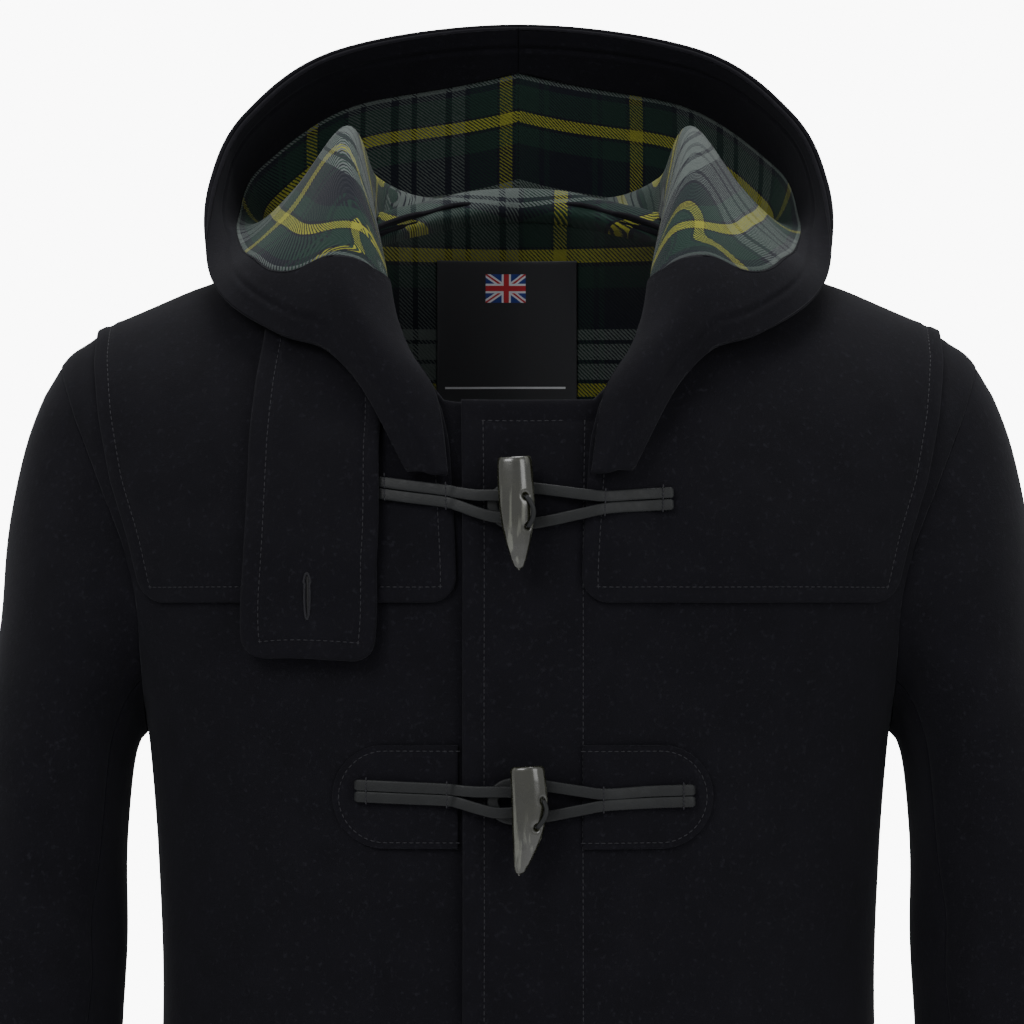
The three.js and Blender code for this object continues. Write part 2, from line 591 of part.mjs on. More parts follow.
// Inside back of the coat and the woven label, where the neck opening shows them
const evenly = (from, to, steps) => Array.from({ length: steps + 1 }, (_, i) => lerp(from, to, i / steps));
const backAt = (x, z) => onPanel(x < 0 ? PANELS.backRight : PANELS.backLeft, x, z);
function insideBack(xs, zs, near, far) {
  const found = zs.map((z) => xs.map((x) => backAt(x, z)));
  const grid = found.map((row) => row.map((f) => f.point));
  const normals = found.map((row) => row.map((f) => f.normal));
  return wall(grid, normals, near, far);
}
const LINING_IN = LAYER_GAP + LINING;
for (const [side, panel] of [["left", PANELS.backLeft], ["right", PANELS.backRight]]) {
  const first = SIDE_ROWS.length + INSIDE_BACK.fromRow;
  const part = (rows) => rows.slice(first).map((row) => row.slice(0, INSIDE_BACK.columns + 1));
  add("back_lining_" + side, wall(part(panel.grid), part(panel.normals), -LINING_IN, -LAYER_GAP), TARTAN);
}
const LABEL_IN = LINING_IN + LAYER_GAP;
const labelXs = evenly(LABEL.left, LABEL.right, 6);
const labelZs = evenly(LABEL.bottom, LABEL.top, 5);
add("label", insideBack(labelXs, labelZs, -LABEL_IN - LABEL.thick, -LABEL_IN), WOVEN);

// Half-round patches behind the lower closures, and the open patch pockets
function patchRows(inner, outer, middle) {
  const away = Math.sign(outer);
  const rows = [];
  for (const a of [-90, -60, -32, 0, 32, 60, 90]) {
    const angle = (a * Math.PI) / 180;
    const z = middle + PATCH.half * Math.sin(angle);
    const end = outer - away * PATCH.half * (1 - Math.cos(angle));
    rows.push(evenly(inner, end, 3).map((x) => [x, z]));
  }
  return rows;
}
CLOSURES.slice(1).forEach(({ middle }, k) => {
  const name = "patch_" + (k + 2);
  const rightRows = patchRows(PATCH.innerLeft, PATCH.left, middle);
  const leftRows = patchRows(PATCH.innerRight, PATCH.right, middle);
  add(name + "_right", laidOn(PANELS.right, rightRows, PATCH.thick), MELTON);
  add(name + "_left", laidOn(PANELS.left, leftRows, PATCH.thick), MELTON);
});
for (const [side, panel, mirror] of [["left", PANELS.left, 1], ["right", PANELS.right, -1]]) {
  const width = POCKET.outer - POCKET.inner;
  const xs = evenly(0, 1, 6).map((s) => POCKET.inner + width * (1 - Math.pow(1 - s, 1.5)));
  const rows = evenly(POCKET.bottom, POCKET.top, 4).map((z) => xs.map((x) => [mirror * x, z]));
  const stand = (x) => POCKET.near + (POCKET.far - POCKET.near) * smooth((Math.abs(x) - 110) / 60);
  add("pocket_" + side, laidOn(panel, rows, CLOTH, stand), MELTON);
}

// Throat tab, over the yoke and over the end of the first strap
function tabRows() {
  const shares = [0, 0.33, 0.6, 0.8, 1];
  return TAB_EDGES.map(({ z, left, right }) => shares.map((s) => [lerp(left, right, s), z]));
}
function tabHeight(x, z) {
  const within = smooth((TAB.strapTop - z) / TAB.ramp) * smooth((z - TAB.strapBottom) / TAB.ramp);
  const overStrap = within * smooth((x - TAB.strapEnd) / (1.5 * TAB.ramp));
  return lerp(TAB.lift, TAB.strapLift, overStrap) - CLOTH;
}
add("throat_tab", laidOn(PANELS.right, tabRows(), TAB.thick, tabHeight), MELTON);

// Leather cords: each side of a closure is one cord laid double, its bend held by the toggle
// a rod of four sides has its corners this much further out than its half width
const corners = (p, u, v) => ({ centre: p, u: u.multiplyScalar(Math.SQRT2), v: v.multiplyScalar(Math.SQRT2) });
function cord(panel, places) {
  const centres = places.map(([x, z, height]) => {
    const f = onPanel(panel, x, z);
    return { p: f.point.clone().addScaledVector(f.normal, height(f.top)), n: f.normal };
  });
  const stations = centres.map(({ p, n }, i) => {
    const before = centres[Math.max(i - 1, 0)].p;
    const after = centres[Math.min(i + 1, centres.length - 1)].p;
    const along3 = after.clone().sub(before).normalize();
    const u = along3.clone().cross(n).normalize().multiplyScalar(CORD_HALF_WIDTH);
    const v = u.clone().cross(along3).normalize().multiplyScalar(CORD_HALF_THICK);
    return corners(p, u, v);
  });
  return rod(stations, 4);
}
const CORD_GAP = 0.6; // clearance of a cord over the cloth where it isn't sewn down
const ON_LAP = LAP_LIFT + CLOTH + CORD_GAP + CORD_HALF_THICK;
const OVER_LOOP = ON_LAP + 2 * CORD_HALF_THICK + LAID_GAP;
const HORN_WIDEST = 9.3; // half width of a toggle at its widest
const HORN_DEPTH = 0.765; // its half depth, as a share of the half width
const TOGGLE_GAP = 0.3; // clearance of a toggle over the strap's cords
CLOSURES.forEach(({ topX, tipX, bow, middle, toggleTop, left, right }, k) => {
  const layer = LAYER_GAP + LAID_GAP + CORD_HALF_THICK + (k === 0 ? CLOTH : PATCH.thick + 0.2);
  const onLayer = (top) => top + layer;
  const fixed = (height) => () => height;
  // right loop: [distance, off the middle, height]
  const rightHalf = [
    [right, CORD_OFF_MIDDLE, onLayer],
    [(right + 44) / 2, CORD_OFF_MIDDLE, onLayer],
    [44, CORD_OFF_MIDDLE, onLayer],
    [32, 4.6, fixed(LAP_LIFT + CLOTH + layer)],
    [12, 8, fixed(ON_LAP)],
    [-2, 8.2, fixed(ON_LAP)],
    [-11, 5.5, fixed(ON_LAP)],
  ];
  const leftHalf = [
    [left, CORD_OFF_MIDDLE, onLayer],
    [(left - 40) / 2, CORD_OFF_MIDDLE, onLayer],
    [-38, CORD_OFF_MIDDLE, onLayer],
    [-31, 3.2, fixed(ON_LAP + 0.4)],
    [-22, 4, fixed(OVER_LOOP - 1)],
    [-12, 5, fixed(OVER_LOOP)],
    [-2, 4.6, fixed(OVER_LOOP)],
  ];
  const bend = (half, tip) => [
    ...half.map(([x, off, h]) => [x, middle + off, h]),
    [tip, middle, half[half.length - 1][2]],
    ...[...half].reverse().map(([x, off, h]) => [x, middle - off, h]),
  ];
  const number = k + 1;
  add("loop_" + number, cord(PANELS.left, bend(rightHalf, -14.5)), STRAP_LEATHER);
  add("strap_" + number, cord(PANELS.right, bend(leftHalf, 2)), STRAP_LEATHER);

  // horn toggle: blunt above, tapering to a blunt tip: [share of length, half width]
  const HORN_PROFILE = [[0, 8.8], [0.12, 9.2], [0.38, HORN_WIDEST], [0.58, 8], [0.76, 5.8], [0.9, 3.6], [1, 1.8]];
  const centreLift = OVER_LOOP + CORD_HALF_THICK + TOGGLE_GAP + HORN_DEPTH * HORN_WIDEST;
  const stations = HORN_PROFILE.map(([share, half]) => {
    const x = lerp(topX, tipX, share) + bow * Math.sin(Math.PI * share);
    const z = toggleTop - TOGGLE_LENGTH * share;
    const p = onForm(x, z, -1, centreLift);
    return { centre: p, u: V(half, 0, 0), v: V(0, half * HORN_DEPTH, 0) };
  });
  add("toggle_" + number, rod(stations, 10), HORN);
});

export default coat;
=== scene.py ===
import math

import bpy
import numpy as np
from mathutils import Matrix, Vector


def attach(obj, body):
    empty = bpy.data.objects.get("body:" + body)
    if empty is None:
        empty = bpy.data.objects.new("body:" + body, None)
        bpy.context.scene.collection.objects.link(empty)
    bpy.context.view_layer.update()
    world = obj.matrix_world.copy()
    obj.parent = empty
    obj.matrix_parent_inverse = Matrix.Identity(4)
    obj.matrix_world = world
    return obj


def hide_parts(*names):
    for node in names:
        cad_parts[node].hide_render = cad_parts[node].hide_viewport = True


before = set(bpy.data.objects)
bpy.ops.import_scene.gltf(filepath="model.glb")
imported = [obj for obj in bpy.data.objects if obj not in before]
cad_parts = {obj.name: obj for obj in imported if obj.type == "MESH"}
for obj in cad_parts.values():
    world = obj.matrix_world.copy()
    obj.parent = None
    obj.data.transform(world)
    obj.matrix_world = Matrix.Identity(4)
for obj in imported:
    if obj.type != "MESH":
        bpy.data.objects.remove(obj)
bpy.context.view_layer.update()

MM = 0.001

# Camera
# Level with the chest, four metres in front of the placket; one photo pixel is 0.52 mm at the placket.
PIXEL_AT_PLACKET = 0.52 * MM
PHOTO_WIDTH = 1024
PLACKET_Y = -0.13
CAMERA_AWAY = 4.0
camera_data = bpy.data.cameras.new("camera")
camera_data.sensor_width = 36
camera_data.lens = 36 * CAMERA_AWAY / (PIXEL_AT_PLACKET * PHOTO_WIDTH)
camera = bpy.data.objects.new("camera", camera_data)
camera.location = (-0.0036, PLACKET_Y - CAMERA_AWAY, -0.146)
camera.rotation_euler = (math.pi / 2, 0, 0)
bpy.context.collection.objects.link(camera)
bpy.context.scene.camera = camera

# Studio
# A plain pale floor below the coat, a white surround, and three large soft lamps from the front and above.
FLOOR_Z = -1.25


def lamp(name, place, aim, size, watts):
    data = bpy.data.lights.new(name, "AREA")
    data.size = size
    data.energy = watts
    holder = bpy.data.objects.new(name, data)
    holder.location = place
    holder.rotation_euler = (Vector(aim) - Vector(place)).to_track_quat("-Z", "Y").to_euler()
    bpy.context.collection.objects.link(holder)


lamp("key", (-1.6, -2.6, 1.9), (0, 0, -0.1), 1.6, 74)
lamp("fill", (2.2, -2.4, 0.8), (0, 0, -0.2), 1.8, 40)
lamp("top", (0.2, 0.3, 2.6), (0, 0, 0), 1.5, 75)
world = bpy.data.worlds.new("surround")
bpy.context.scene.world = world
world.use_nodes = True
world.node_tree.nodes["Background"].inputs["Color"].default_value = (1, 1, 1, 1)
world.node_tree.nodes["Background"].inputs["Strength"].default_value = 0.8
seen_surround = world.node_tree.nodes.new("ShaderNodeBackground")
seen_surround.inputs["Strength"].default_value = 12.0
surround_mix = world.node_tree.nodes.new("ShaderNodeMixShader")
direct_look = world.node_tree.nodes.new("ShaderNodeLightPath")
world.node_tree.links.new(direct_look.outputs["Is Camera Ray"], surround_mix.inputs[0])
world.node_tree.links.new(world.node_tree.nodes["Background"].outputs[0], surround_mix.inputs[1])
world.node_tree.links.new(seen_surround.outputs[0], surround_mix.inputs[2])
world.node_tree.links.new(surround_mix.outputs[0], world.node_tree.nodes["World Output"].inputs[0])

floor_mesh = bpy.data.meshes.new("floor")
floor_corners = [(-6, -6, FLOOR_Z), (6, -6, FLOOR_Z), (6, 6, FLOOR_Z), (-6, 6, FLOOR_Z)]
floor_mesh.from_pydata(floor_corners, [], [(0, 1, 2, 3)])
floor = bpy.data.objects.new("floor", floor_mesh)
bpy.context.collection.objects.link(floor)
floor_paint = bpy.data.materials.new("floor_paint")
floor_paint.use_nodes = True
floor_paint.node_tree.nodes["Principled BSDF"].inputs["Base Color"].default_value = (0.86, 0.86, 0.87, 1)
floor_paint.node_tree.nodes["Principled BSDF"].inputs["Roughness"].default_value = 0.9
floor_mesh.materials.append(floor_paint)


# Heavy melton wool
# Very dark navy, milled until the weave hardly shows: a matt felted nap with flecks of lint and soft mottle.
class Value:
    """A shader socket, or a number, that takes part in Python arithmetic."""

    def __init__(self, shade, out):
        self.shade, self.out = shade, out

    def math(self, operation, *others):
        return self.shade.node("ShaderNodeMath", {"operation": operation}, self, *others)

    def __add__(self, other):
        return self.math("ADD", other)

    def __radd__(self, other):
        return self.math("ADD", other)

    def __sub__(self, other):
        return self.math("SUBTRACT", other)

    def __rsub__(self, other):
        return self.shade.node("ShaderNodeMath", {"operation": "SUBTRACT"}, other, self)

    def __mul__(self, other):
        return self.math("MULTIPLY", other)

    def __rmul__(self, other):
        return self.math("MULTIPLY", other)

    def __truediv__(self, other):
        return self.math("DIVIDE", other)

    def fract(self):
        return self.math("FRACT")


class Shade:
    """One material's node tree."""

    def __init__(self, name):
        self.material = bpy.data.materials.new(name)
        self.material.use_nodes = True
        self.tree = self.material.node_tree
        self.bsdf = self.tree.nodes["Principled BSDF"]

    def node(self, kind, settings=None, *inputs, out=0, **named):
        made = self.tree.nodes.new(kind)
        for key, value in (settings or {}).items():
            if key == "stops":
                ramp = made.color_ramp
                while len(ramp.elements) < len(value):
                    ramp.elements.new(0.5)
                for element, (place, color) in zip(ramp.elements, value):
                    element.position = place
                    element.color = (*color, 1)
            elif key == "interpolation":
                made.color_ramp.interpolation = value
            else:
                setattr(made, key, value)
        pairs = list(enumerate(inputs)) + [(key.replace("_", " "), value) for key, value in named.items()]
        for key, value in pairs:
            self.put(made.inputs[key], value)
        return Value(self, made.outputs[out])

    def put(self, socket, value):
        if isinstance(value, Value):
            self.tree.links.new(value.out, socket)
        elif hasattr(socket.default_value, "__len__") and len(value) == 3 and len(socket.default_value) == 4:
            socket.default_value = (*value, 1)
        else:
            socket.default_value = value

    def mix(self, factor, first, second):
        made = self.tree.nodes.new("ShaderNodeMix")
        made.data_type = "RGBA"
        for socket, value in zip((made.inputs[0], made.inputs[6], made.inputs[7]), (factor, first, second)):
            self.put(socket, value)
        return Value(self, made.outputs[2])

    def noise(self, place, scale, detail=3.0):
        return self.node("ShaderNodeTexNoise", {}, Vector=place, Scale=scale, Detail=detail)

    def bump(self, height, distance, strength, under=None):
        normal = {} if under is None else {"Normal": under}
        return self.node("ShaderNodeBump", {}, Height=height, Distance=distance, Strength=strength, **normal)

    def object_place(self):
        return self.node("ShaderNodeTexCoord", out="Object")

    def surface(self, **sockets):
        for key, value in sockets.items():
            self.put(self.bsdf.inputs[key.replace("_", " ")], value)
        return self.material


def melton_wool(name, dark, light, nap):
    shade = Shade(name)
    place = shade.object_place()
    mottle = shade.noise(place, 55, 5)
    fibre = shade.noise(place, 1500, 2)
    lint = shade.noise(place, 420, 4)
    tone = shade.mix(mottle, dark, light)
    fleck = ((lint - 0.58) * 6).math("MAXIMUM", 0.0).math("MINIMUM", 1.0)
    flecked = shade.mix(fleck, tone, nap)
    felt = shade.bump(fibre * 0.6 + lint * 0.4, 0.0005, 0.55)
    waves = shade.bump(shade.noise(place, 38, 3), 0.002, 0.25, felt)
    return shade.surface(
        Base_Color=flecked,
        Roughness=0.95,
        Normal=waves,
        Sheen_Weight=0.03,
        Sheen_Roughness=0.5,
        Sheen_Tint=(0.5, 0.52, 0.6, 1),
        Specular_IOR_Level=0.12,
    )


MELTON = melton_wool("melton", (0.0010, 0.0009, 0.0019), (0.0030, 0.0028, 0.0046), (0.0058, 0.0057, 0.0082))

# Body form
# The coat hangs from the shoulder line; a superellipse gives its width and depth at each height.
# All lengths here and below are in millimetres.
HEM_Z = -930
ARMPIT_Z = -262
RIDGE_DEPTH = 200
DEPTH = {-1: 134, 1: 138}
HEM_EXTRA_DEPTH = 26
SQUARENESS = 2.5
CLOTH = 2.5
LAYER_GAP = 0.5
HALF_WIDTH = [
    (-930, 226), (-760, 211), (-600, 199), (-480, 191), (-400, 188), (-320, 191), (-262, 196),
    (-240, 204), (-192, 224), (-161, 235), (-129, 245), (-76, 262), (60, 275),
]
RIDGE = [(0, 50), (30, 38), (55, 18), (76, 2), (110, -11), (172, -32), (225, -54), (243, -69), (275, -110)]


def along(rows, at):
    """The value of a table of (station, value) rows, smooth between the stations."""
    stations = np.array([row[0] for row in rows], float)
    values = np.array([row[1:] for row in rows], float)
    at = np.asarray(at, float)
    k = np.clip(np.searchsorted(stations, at, side="right"), 1, len(rows) - 1)
    t = np.clip((at - stations[k - 1]) / (stations[k] - stations[k - 1]), 0, 1)[..., None]
    p = [values[np.clip(k + shift, 0, len(rows) - 1)] for shift in (-2, -1, 0, 1)]
    cubic = 2 * p[1] + (p[2] - p[0]) * t
    cubic = cubic + (2 * p[0] - 5 * p[1] + 4 * p[2] - p[3]) * t**2
    cubic = (cubic + (3 * p[1] - p[0] - 3 * p[2] + p[3]) * t**3) / 2
    return cubic[..., 0] if values.shape[1] == 1 else cubic


def ease(t):
    t = np.clip(t, 0, 1)
    return t * t * (3 - 2 * t)


def ridge(x):
    return along(RIDGE, np.abs(x))


def form_y(x, z, side):
    depth = DEPTH[side] + HEM_EXTRA_DEPTH * np.clip((-z - 400) / 530, 0, 1)
    across = np.clip(np.abs(x) / along(HALF_WIDTH, z), 0, 1)
    rounded = np.maximum(0, 1 - across**SQUARENESS) ** (1 / SQUARENESS)
    down = np.clip((ridge(x) - z) / RIDGE_DEPTH, 0, 1)
    return side * depth * rounded * np.sqrt(1 - (1 - down) ** 2)


def form_point(x, z, side):
    x, z = np.broadcast_arrays(np.asarray(x, float), np.asarray(z, float))
    return np.stack([x, form_y(x, z, side), z], -1)


def unit(v):
    return v / np.maximum(np.linalg.norm(v, axis=-1, keepdims=True), 1e-9)


def form_normal(x, z, side):
    step = 1.5
    across = form_point(x + step, z, side) - form_point(x - step, z, side)
    upward = form_point(x, z + step, side) - form_point(x, z - step, side)
    n = unit(np.cross(across, upward))
    return np.where(n[..., 1:2] * side < 0, -n, n)


# How far the wearer's left front stands over the right one at the lap
LAP_X = -29
UNDERLAP_X = 22
THROAT_Z = -89
LAP_LIFT = CLOTH + 2.5


def lap_lift(x):
    return LAP_LIFT * ease((76 - x) / 34)


# Soft unevenness of the hanging cloth: troughs as (x, z, x, z, half width, depth), ends fading out
BODY_TROUGHS = [
    (-60, -150, -150, -330, 17, 1.6), (70, -160, 150, -320, 18, 1.7), (-120, -240, -170, -420, 20, 2.0),
    (120, -250, 172, -430, 20, 2.2), (-90, -330, -110, -520, 22, 1.4), (96, -340, 120, -560, 24, 1.5),
    (-50, -480, -70, -800, 26, 2.0), (60, -470, 76, -820, 26, 2.2), (-140, -520, -150, -860, 22, 3.0),
    (140, -540, 156, -880, 22, 3.0), (0, -620, 4, -900, 26, 1.6), (-100, -110, -185, -150, 14, 1.2),
    (104, -112, 190, -156, 14, 1.2),
]


def troughs(u, v, rows):
    total = 0.0
    for u0, v0, u1, v1, wide, deep in rows:
        length = (u1 - u0) ** 2 + (v1 - v0) ** 2
        t = np.clip(((u - u0) * (u1 - u0) + (v - v0) * (v1 - v0)) / length, 0, 1)
        away = (u - u0 - t * (u1 - u0)) ** 2 + (v - v0 - t * (v1 - v0)) ** 2
        fade = 0.35 + 0.65 * np.sin(math.pi * (0.12 + 0.76 * t))
        total = total - deep * np.exp(-away / (2 * wide**2)) * fade
    return total


def uneven(x, z, side):
    slow = np.sin(x * 0.041 + z * 0.013 + side) * np.sin(z * 0.019 - x * 0.008 + 1.3 * side)
    return troughs(x * side * -1, z, BODY_TROUGHS) + 0.7 * slow


def body_point(x, z, side):
    """A point of the coat's form with its soft troughs, which fade out towards the shoulder line."""
    flat = form_point(x, z, side)
    fade = ease((ridge(flat[..., 0]) - flat[..., 2]) / 90) * ease(np.abs(flat[..., 1]) / 60)
    flat[..., 1] += side * uneven(flat[..., 0], flat[..., 2], side) * fade
    return flat


def on_body(x, z, side, lift):
    """A point over the coat's form by lift, along the form's normal."""
    return body_point(x, z, side) + form_normal(x, z, side) * np.asarray(lift, float)[..., None]


# Cloth walls: a grid of points with an inner and an outer face and a rounded edge all round
SEAM_PULL = -0.1
TURN = (math.pi / 4, math.pi / 2, 3 * math.pi / 4)


def arc(points):
    """Distance along a polyline, from its first point."""
    steps = np.linalg.norm(np.diff(points, axis=0), axis=-1)
    return np.concatenate([[0], np.cumsum(steps)])


def spread(points, places):
    """Points of a polyline at the given distances from its start."""
    at = arc(points)
    return np.stack([np.interp(places, at, points[:, k]) for k in range(points.shape[1])], -1)


def stations(total, first, last, count):
    """Distances from 0 to total: fixed ones near both ends, even ones between."""
    between = np.linspace(first[-1], total - last[-1], count + 1)[1:-1]
    return np.concatenate([first, between, total - np.array(last[::-1], float)])


def grid_normals(points, towards):
    du = np.gradient(points, axis=0)
    dv = np.gradient(points, axis=1)
    n = unit(np.cross(du, dv))
    middle = (points.shape[0] // 2, points.shape[1] // 2)
    return n if np.dot(n[middle], towards) > 0 else -n


def rim_of(rows, cols):
    ring = [(0, j) for j in range(cols - 1)] + [(i, cols - 1) for i in range(rows - 1)]
    return ring + [(rows - 1, j) for j in range(cols - 1, 0, -1)] + [(i, 0) for i in range(rows - 1, 0, -1)]


def mesh_object(name, vertices, faces, uv, material):
    mesh = bpy.data.meshes.new(name)
    mesh.from_pydata((np.asarray(vertices) * MM).tolist(), [], faces)
    mesh.materials.append(material)
    if uv is not None:
        layer = mesh.uv_layers.new(name="cut")
        corner = np.empty(len(mesh.loops), int)
        mesh.loops.foreach_get("vertex_index", corner)
        layer.data.foreach_set("uv", (np.asarray(uv) * MM)[corner].ravel())
    mesh.shade_smooth()
    made = bpy.data.objects.new(name, mesh)
    bpy.context.collection.objects.link(made)
    return made


def cloth(name, points, normals, near, far, material, pull=SEAM_PULL):
    """A cloth wall from offset near to offset far along the normals of a grid of points, in millimetres."""
    rows, cols = points.shape[:2]
    near = np.broadcast_to(np.asarray(near, float), (rows, cols))
    far = np.broadcast_to(np.asarray(far, float), (rows, cols))
    inward = np.zeros_like(points)
    inward[0] += unit(points[1] - points[0])
    inward[-1] += unit(points[-2] - points[-1])
    inward[:, 0] += unit(points[:, 1] - points[:, 0])
    inward[:, -1] += unit(points[:, -2] - points[:, -1])
    half = (far - near)[..., None] / 2
    moved = points + inward * (half + pull)
    outer = moved + normals * far[..., None]
    inner = moved + normals * near[..., None]
    rim = rim_of(rows, cols)
    ri, rj = np.array(rim).T
    centre = moved[ri, rj] + normals[ri, rj] * ((far + near) / 2)[ri, rj, None]
    h = half[ri, rj]
    loops = [centre + normals[ri, rj] * h * math.cos(a) - inward[ri, rj] * h * math.sin(a) for a in TURN]
    vertices = np.concatenate([outer.reshape(-1, 3), inner.reshape(-1, 3), *loops])
    steps_down = np.linalg.norm(np.diff(points, axis=0), axis=-1)
    steps_across = np.linalg.norm(np.diff(points, axis=1), axis=-1)
    lengthways = np.concatenate([np.zeros((1, cols)), np.cumsum(steps_down, 0)])
    across = np.concatenate([np.zeros((rows, 1)), np.cumsum(steps_across, 1)], axis=1)
    uv = np.stack([across, np.repeat(lengthways[:, cols // 2 : cols // 2 + 1], cols, 1)], -1).reshape(-1, 2)
    rim_uv = uv.reshape(rows, cols, 2)[ri, rj]
    uv = np.concatenate([uv, uv, *[rim_uv] * len(TURN)])

    count = rows * cols
    i, j = np.meshgrid(np.arange(rows - 1), np.arange(cols - 1), indexing="ij")
    a = (i * cols + j).ravel()
    quads = np.stack([a, a + cols, a + cols + 1, a + 1], -1)
    faces = [quads, quads[:, ::-1] + count]
    bands = [ri * cols + rj] + [2 * count + k * len(rim) + np.arange(len(rim)) for k in range(len(TURN))]
    bands.append(count + ri * cols + rj)
    for upper, lower in zip(bands, bands[1:]):
        faces.append(np.stack([upper, np.roll(upper, -1), np.roll(lower, -1), lower], -1))
    faces = np.concatenate(faces)
    mid = (rows // 2, cols // 2)
    turn = np.cross(points[mid[0] + 1, mid[1]] - points[mid], points[mid[0], mid[1] + 1] - points[mid])
    if np.dot(turn, normals[mid]) < 0:
        faces = faces[:, ::-1]
    return mesh_object(name, vertices, faces.tolist(), uv, material)


def cut_size(points):
    """Width, length and area in metres of the flat piece that a grid of points was cut as."""
    steps_v = np.linalg.norm(np.diff(points, axis=1), axis=-1)
    steps_u = np.linalg.norm(np.diff(points, axis=0), axis=-1)
    wide, long = steps_v.sum(1).max() * MM, steps_u.sum(0).max() * MM
    diagonal_1 = points[1:, 1:] - points[:-1, :-1]
    diagonal_2 = points[1:, :-1] - points[:-1, 1:]
    area = np.linalg.norm(np.cross(diagonal_1, diagonal_2), axis=-1).sum() / 2 * MM * MM
    return (float(wide), float(long)), float(min(area, wide * long))


def sewn(made, points, nodes=None):
    """Attaches a finished cloth piece to the root, hides its CAD nodes and works out the size of the sheet it
    was cut from.
    """
    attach(made, "root")
    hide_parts(*(nodes or [made.name.removesuffix("_cloth")]))
    flat, area = cut_size(points)
    return made


# Fronts
# Two melton panels cut to the waist's ease; the wearer's left one laps over, its edge turned and topstitched.
ARMHOLE = [
    (0, 196, -262), (0.12, 196.6, -251), (0.3, 198, -226), (0.46, 200, -192), (0.6, 208, -161),
    (0.74, 221, -129), (0.88, 234, -97), (1, 243, -70),
]
NECKLINE = [(38, -89), (54, -68), (66, -42), (72, -20), (75, -7), (76, 2)]
BACK_NECK = [(0, 20), (20, 19), (44, 14), (62, 8), (73, 4), (79, 1)]
SIDE_X = 200
SHOULDER_NECK_X = 76
FRONT_STITCH = 11
STAND_STITCH = 62
HEM_STITCH = 32


def armhole_x(z):
    return np.interp(z, [row[2] for row in ARMHOLE], [row[1] for row in ARMHOLE])


def front_top(x):
    """Height of a front's upper edge: the throat, then the neckline, then the shoulder line."""
    neck = np.interp(x, [row[0] for row in NECKLINE], [row[1] for row in NECKLINE])
    return np.where(x <= 38, THROAT_Z, np.where(x < SHOULDER_NECK_X, neck, ridge(x)))


def back_top(x):
    neck = np.interp(x, [row[0] for row in BACK_NECK], [row[1] for row in BACK_NECK])
    return np.where(x < 79, neck, ridge(x))


def outer_x(z):
    return np.where(z < ARMPIT_Z, along(HALF_WIDTH, np.minimum(z, ARMPIT_Z)), armhole_x(z))


def panel_grid(inner_lines, top, side, row_step):
    """A body panel from the hem to its upper edge; inner_lines are places of its lines near the inner edge."""
    last = inner_lines[-1]
    start = math.asin((max(last, 1) / SIDE_X) ** (SQUARENESS / 2))
    turns = np.linspace(start, math.pi / 2, 34)[1:]
    lines = np.concatenate([inner_lines, SIDE_X * np.sin(turns) ** (2 / SQUARENESS)])
    columns = []
    for line in lines:
        share = ease((line - 60) / 140)
        # the column's own upper end, where its line meets the panel's upper edge
        head = -100.0
        for _ in range(60):
            x = line + (float(outer_x(head)) - SIDE_X) * share
            head = float(0.5 * head + 0.5 * (top(np.array(x)) if line < SIDE_X else -70.0))
        w = np.linspace(0, 1, 260)
        z = head - (head - HEM_Z) * (1 - w) ** 1.6
        x = line + (outer_x(z) - SIDE_X) * share
        columns.append(body_point(x, z, side))
    rows = int(900 / row_step)
    first = [0, 3, HEM_STITCH - 1.2, HEM_STITCH, HEM_STITCH + 1.2, HEM_STITCH + 8]
    end = [0, 3, FRONT_STITCH - 1.2, FRONT_STITCH, FRONT_STITCH + 1.2]
    grid = [spread(column, stations(arc(column)[-1], first, end, rows)) for column in columns]
    return np.stack(grid, 1)


def groove(distance, deep=0.85, wide=1.7):
    """How far a row of topstitching draws the cloth in, by distance from the row."""
    return -deep * np.exp(-((distance / wide) ** 2)) + 0.28 * np.exp(-(((np.abs(distance) - 3.2) / 1.8) ** 2))


def seam_normals(points, side):
    """Normals of a body panel's grid, flat at the side seam and at the shoulder line."""
    n = grid_normals(points, (0, side, 0))
    flat = np.abs(points[..., 1:2]) < 1
    n = np.where(flat, unit(n * (1, 0, 1)), n)
    return n


THREAD_ROWS = {}


def row_of_stitches(name, points, normals, far, pick):
    """Keeps a grid line of a piece as a row of topstitching, lying in its groove."""
    line = (points + normals * (np.broadcast_to(far, points.shape[:2]) + 0.05)[..., None])[pick]
    THREAD_ROWS.setdefault(name, []).append(line)


EDGE_LINES = [0, 3, 6.5, 9.8, 11, 12.2, 15, 20, 26, 32, 38, 44, 50, 55, 60.8, 62, 63.2, 66, 71]
left_lines = [LAP_X + d for d in EDGE_LINES]
left_grid = panel_grid(left_lines, front_top, -1, 6)
left_normals = seam_normals(left_grid, -1)
top_distance = np.stack([arc(left_grid[::-1, j])[::-1] for j in range(left_grid.shape[1])], 1)
hem_distance = np.stack([arc(left_grid[:, j]) for j in range(left_grid.shape[1])], 1)
from_edge = left_grid[..., 0] - LAP_X
below_band = ease((top_distance - FRONT_STITCH) / 3)
at_throat = ease((44 - left_grid[..., 0]) / 6)
left_far = lap_lift(left_grid[..., 0]) + CLOTH + groove(from_edge - FRONT_STITCH) * below_band
left_far = left_far + groove(from_edge - STAND_STITCH, 0.35) * below_band
past_edge = ease((from_edge - FRONT_STITCH) / 2 + 1)
left_far = left_far + groove(top_distance - FRONT_STITCH) * at_throat * past_edge
left_far = left_far + groove(hem_distance - HEM_STITCH, 0.4)
left_front = cloth("left_front", left_grid, left_normals, lap_lift(left_grid[..., 0]), left_far, MELTON)
sewn(left_front, left_grid, ["front_left"])
EDGE_COLUMN = EDGE_LINES.index(FRONT_STITCH)
STAND_COLUMN = EDGE_LINES.index(STAND_STITCH)
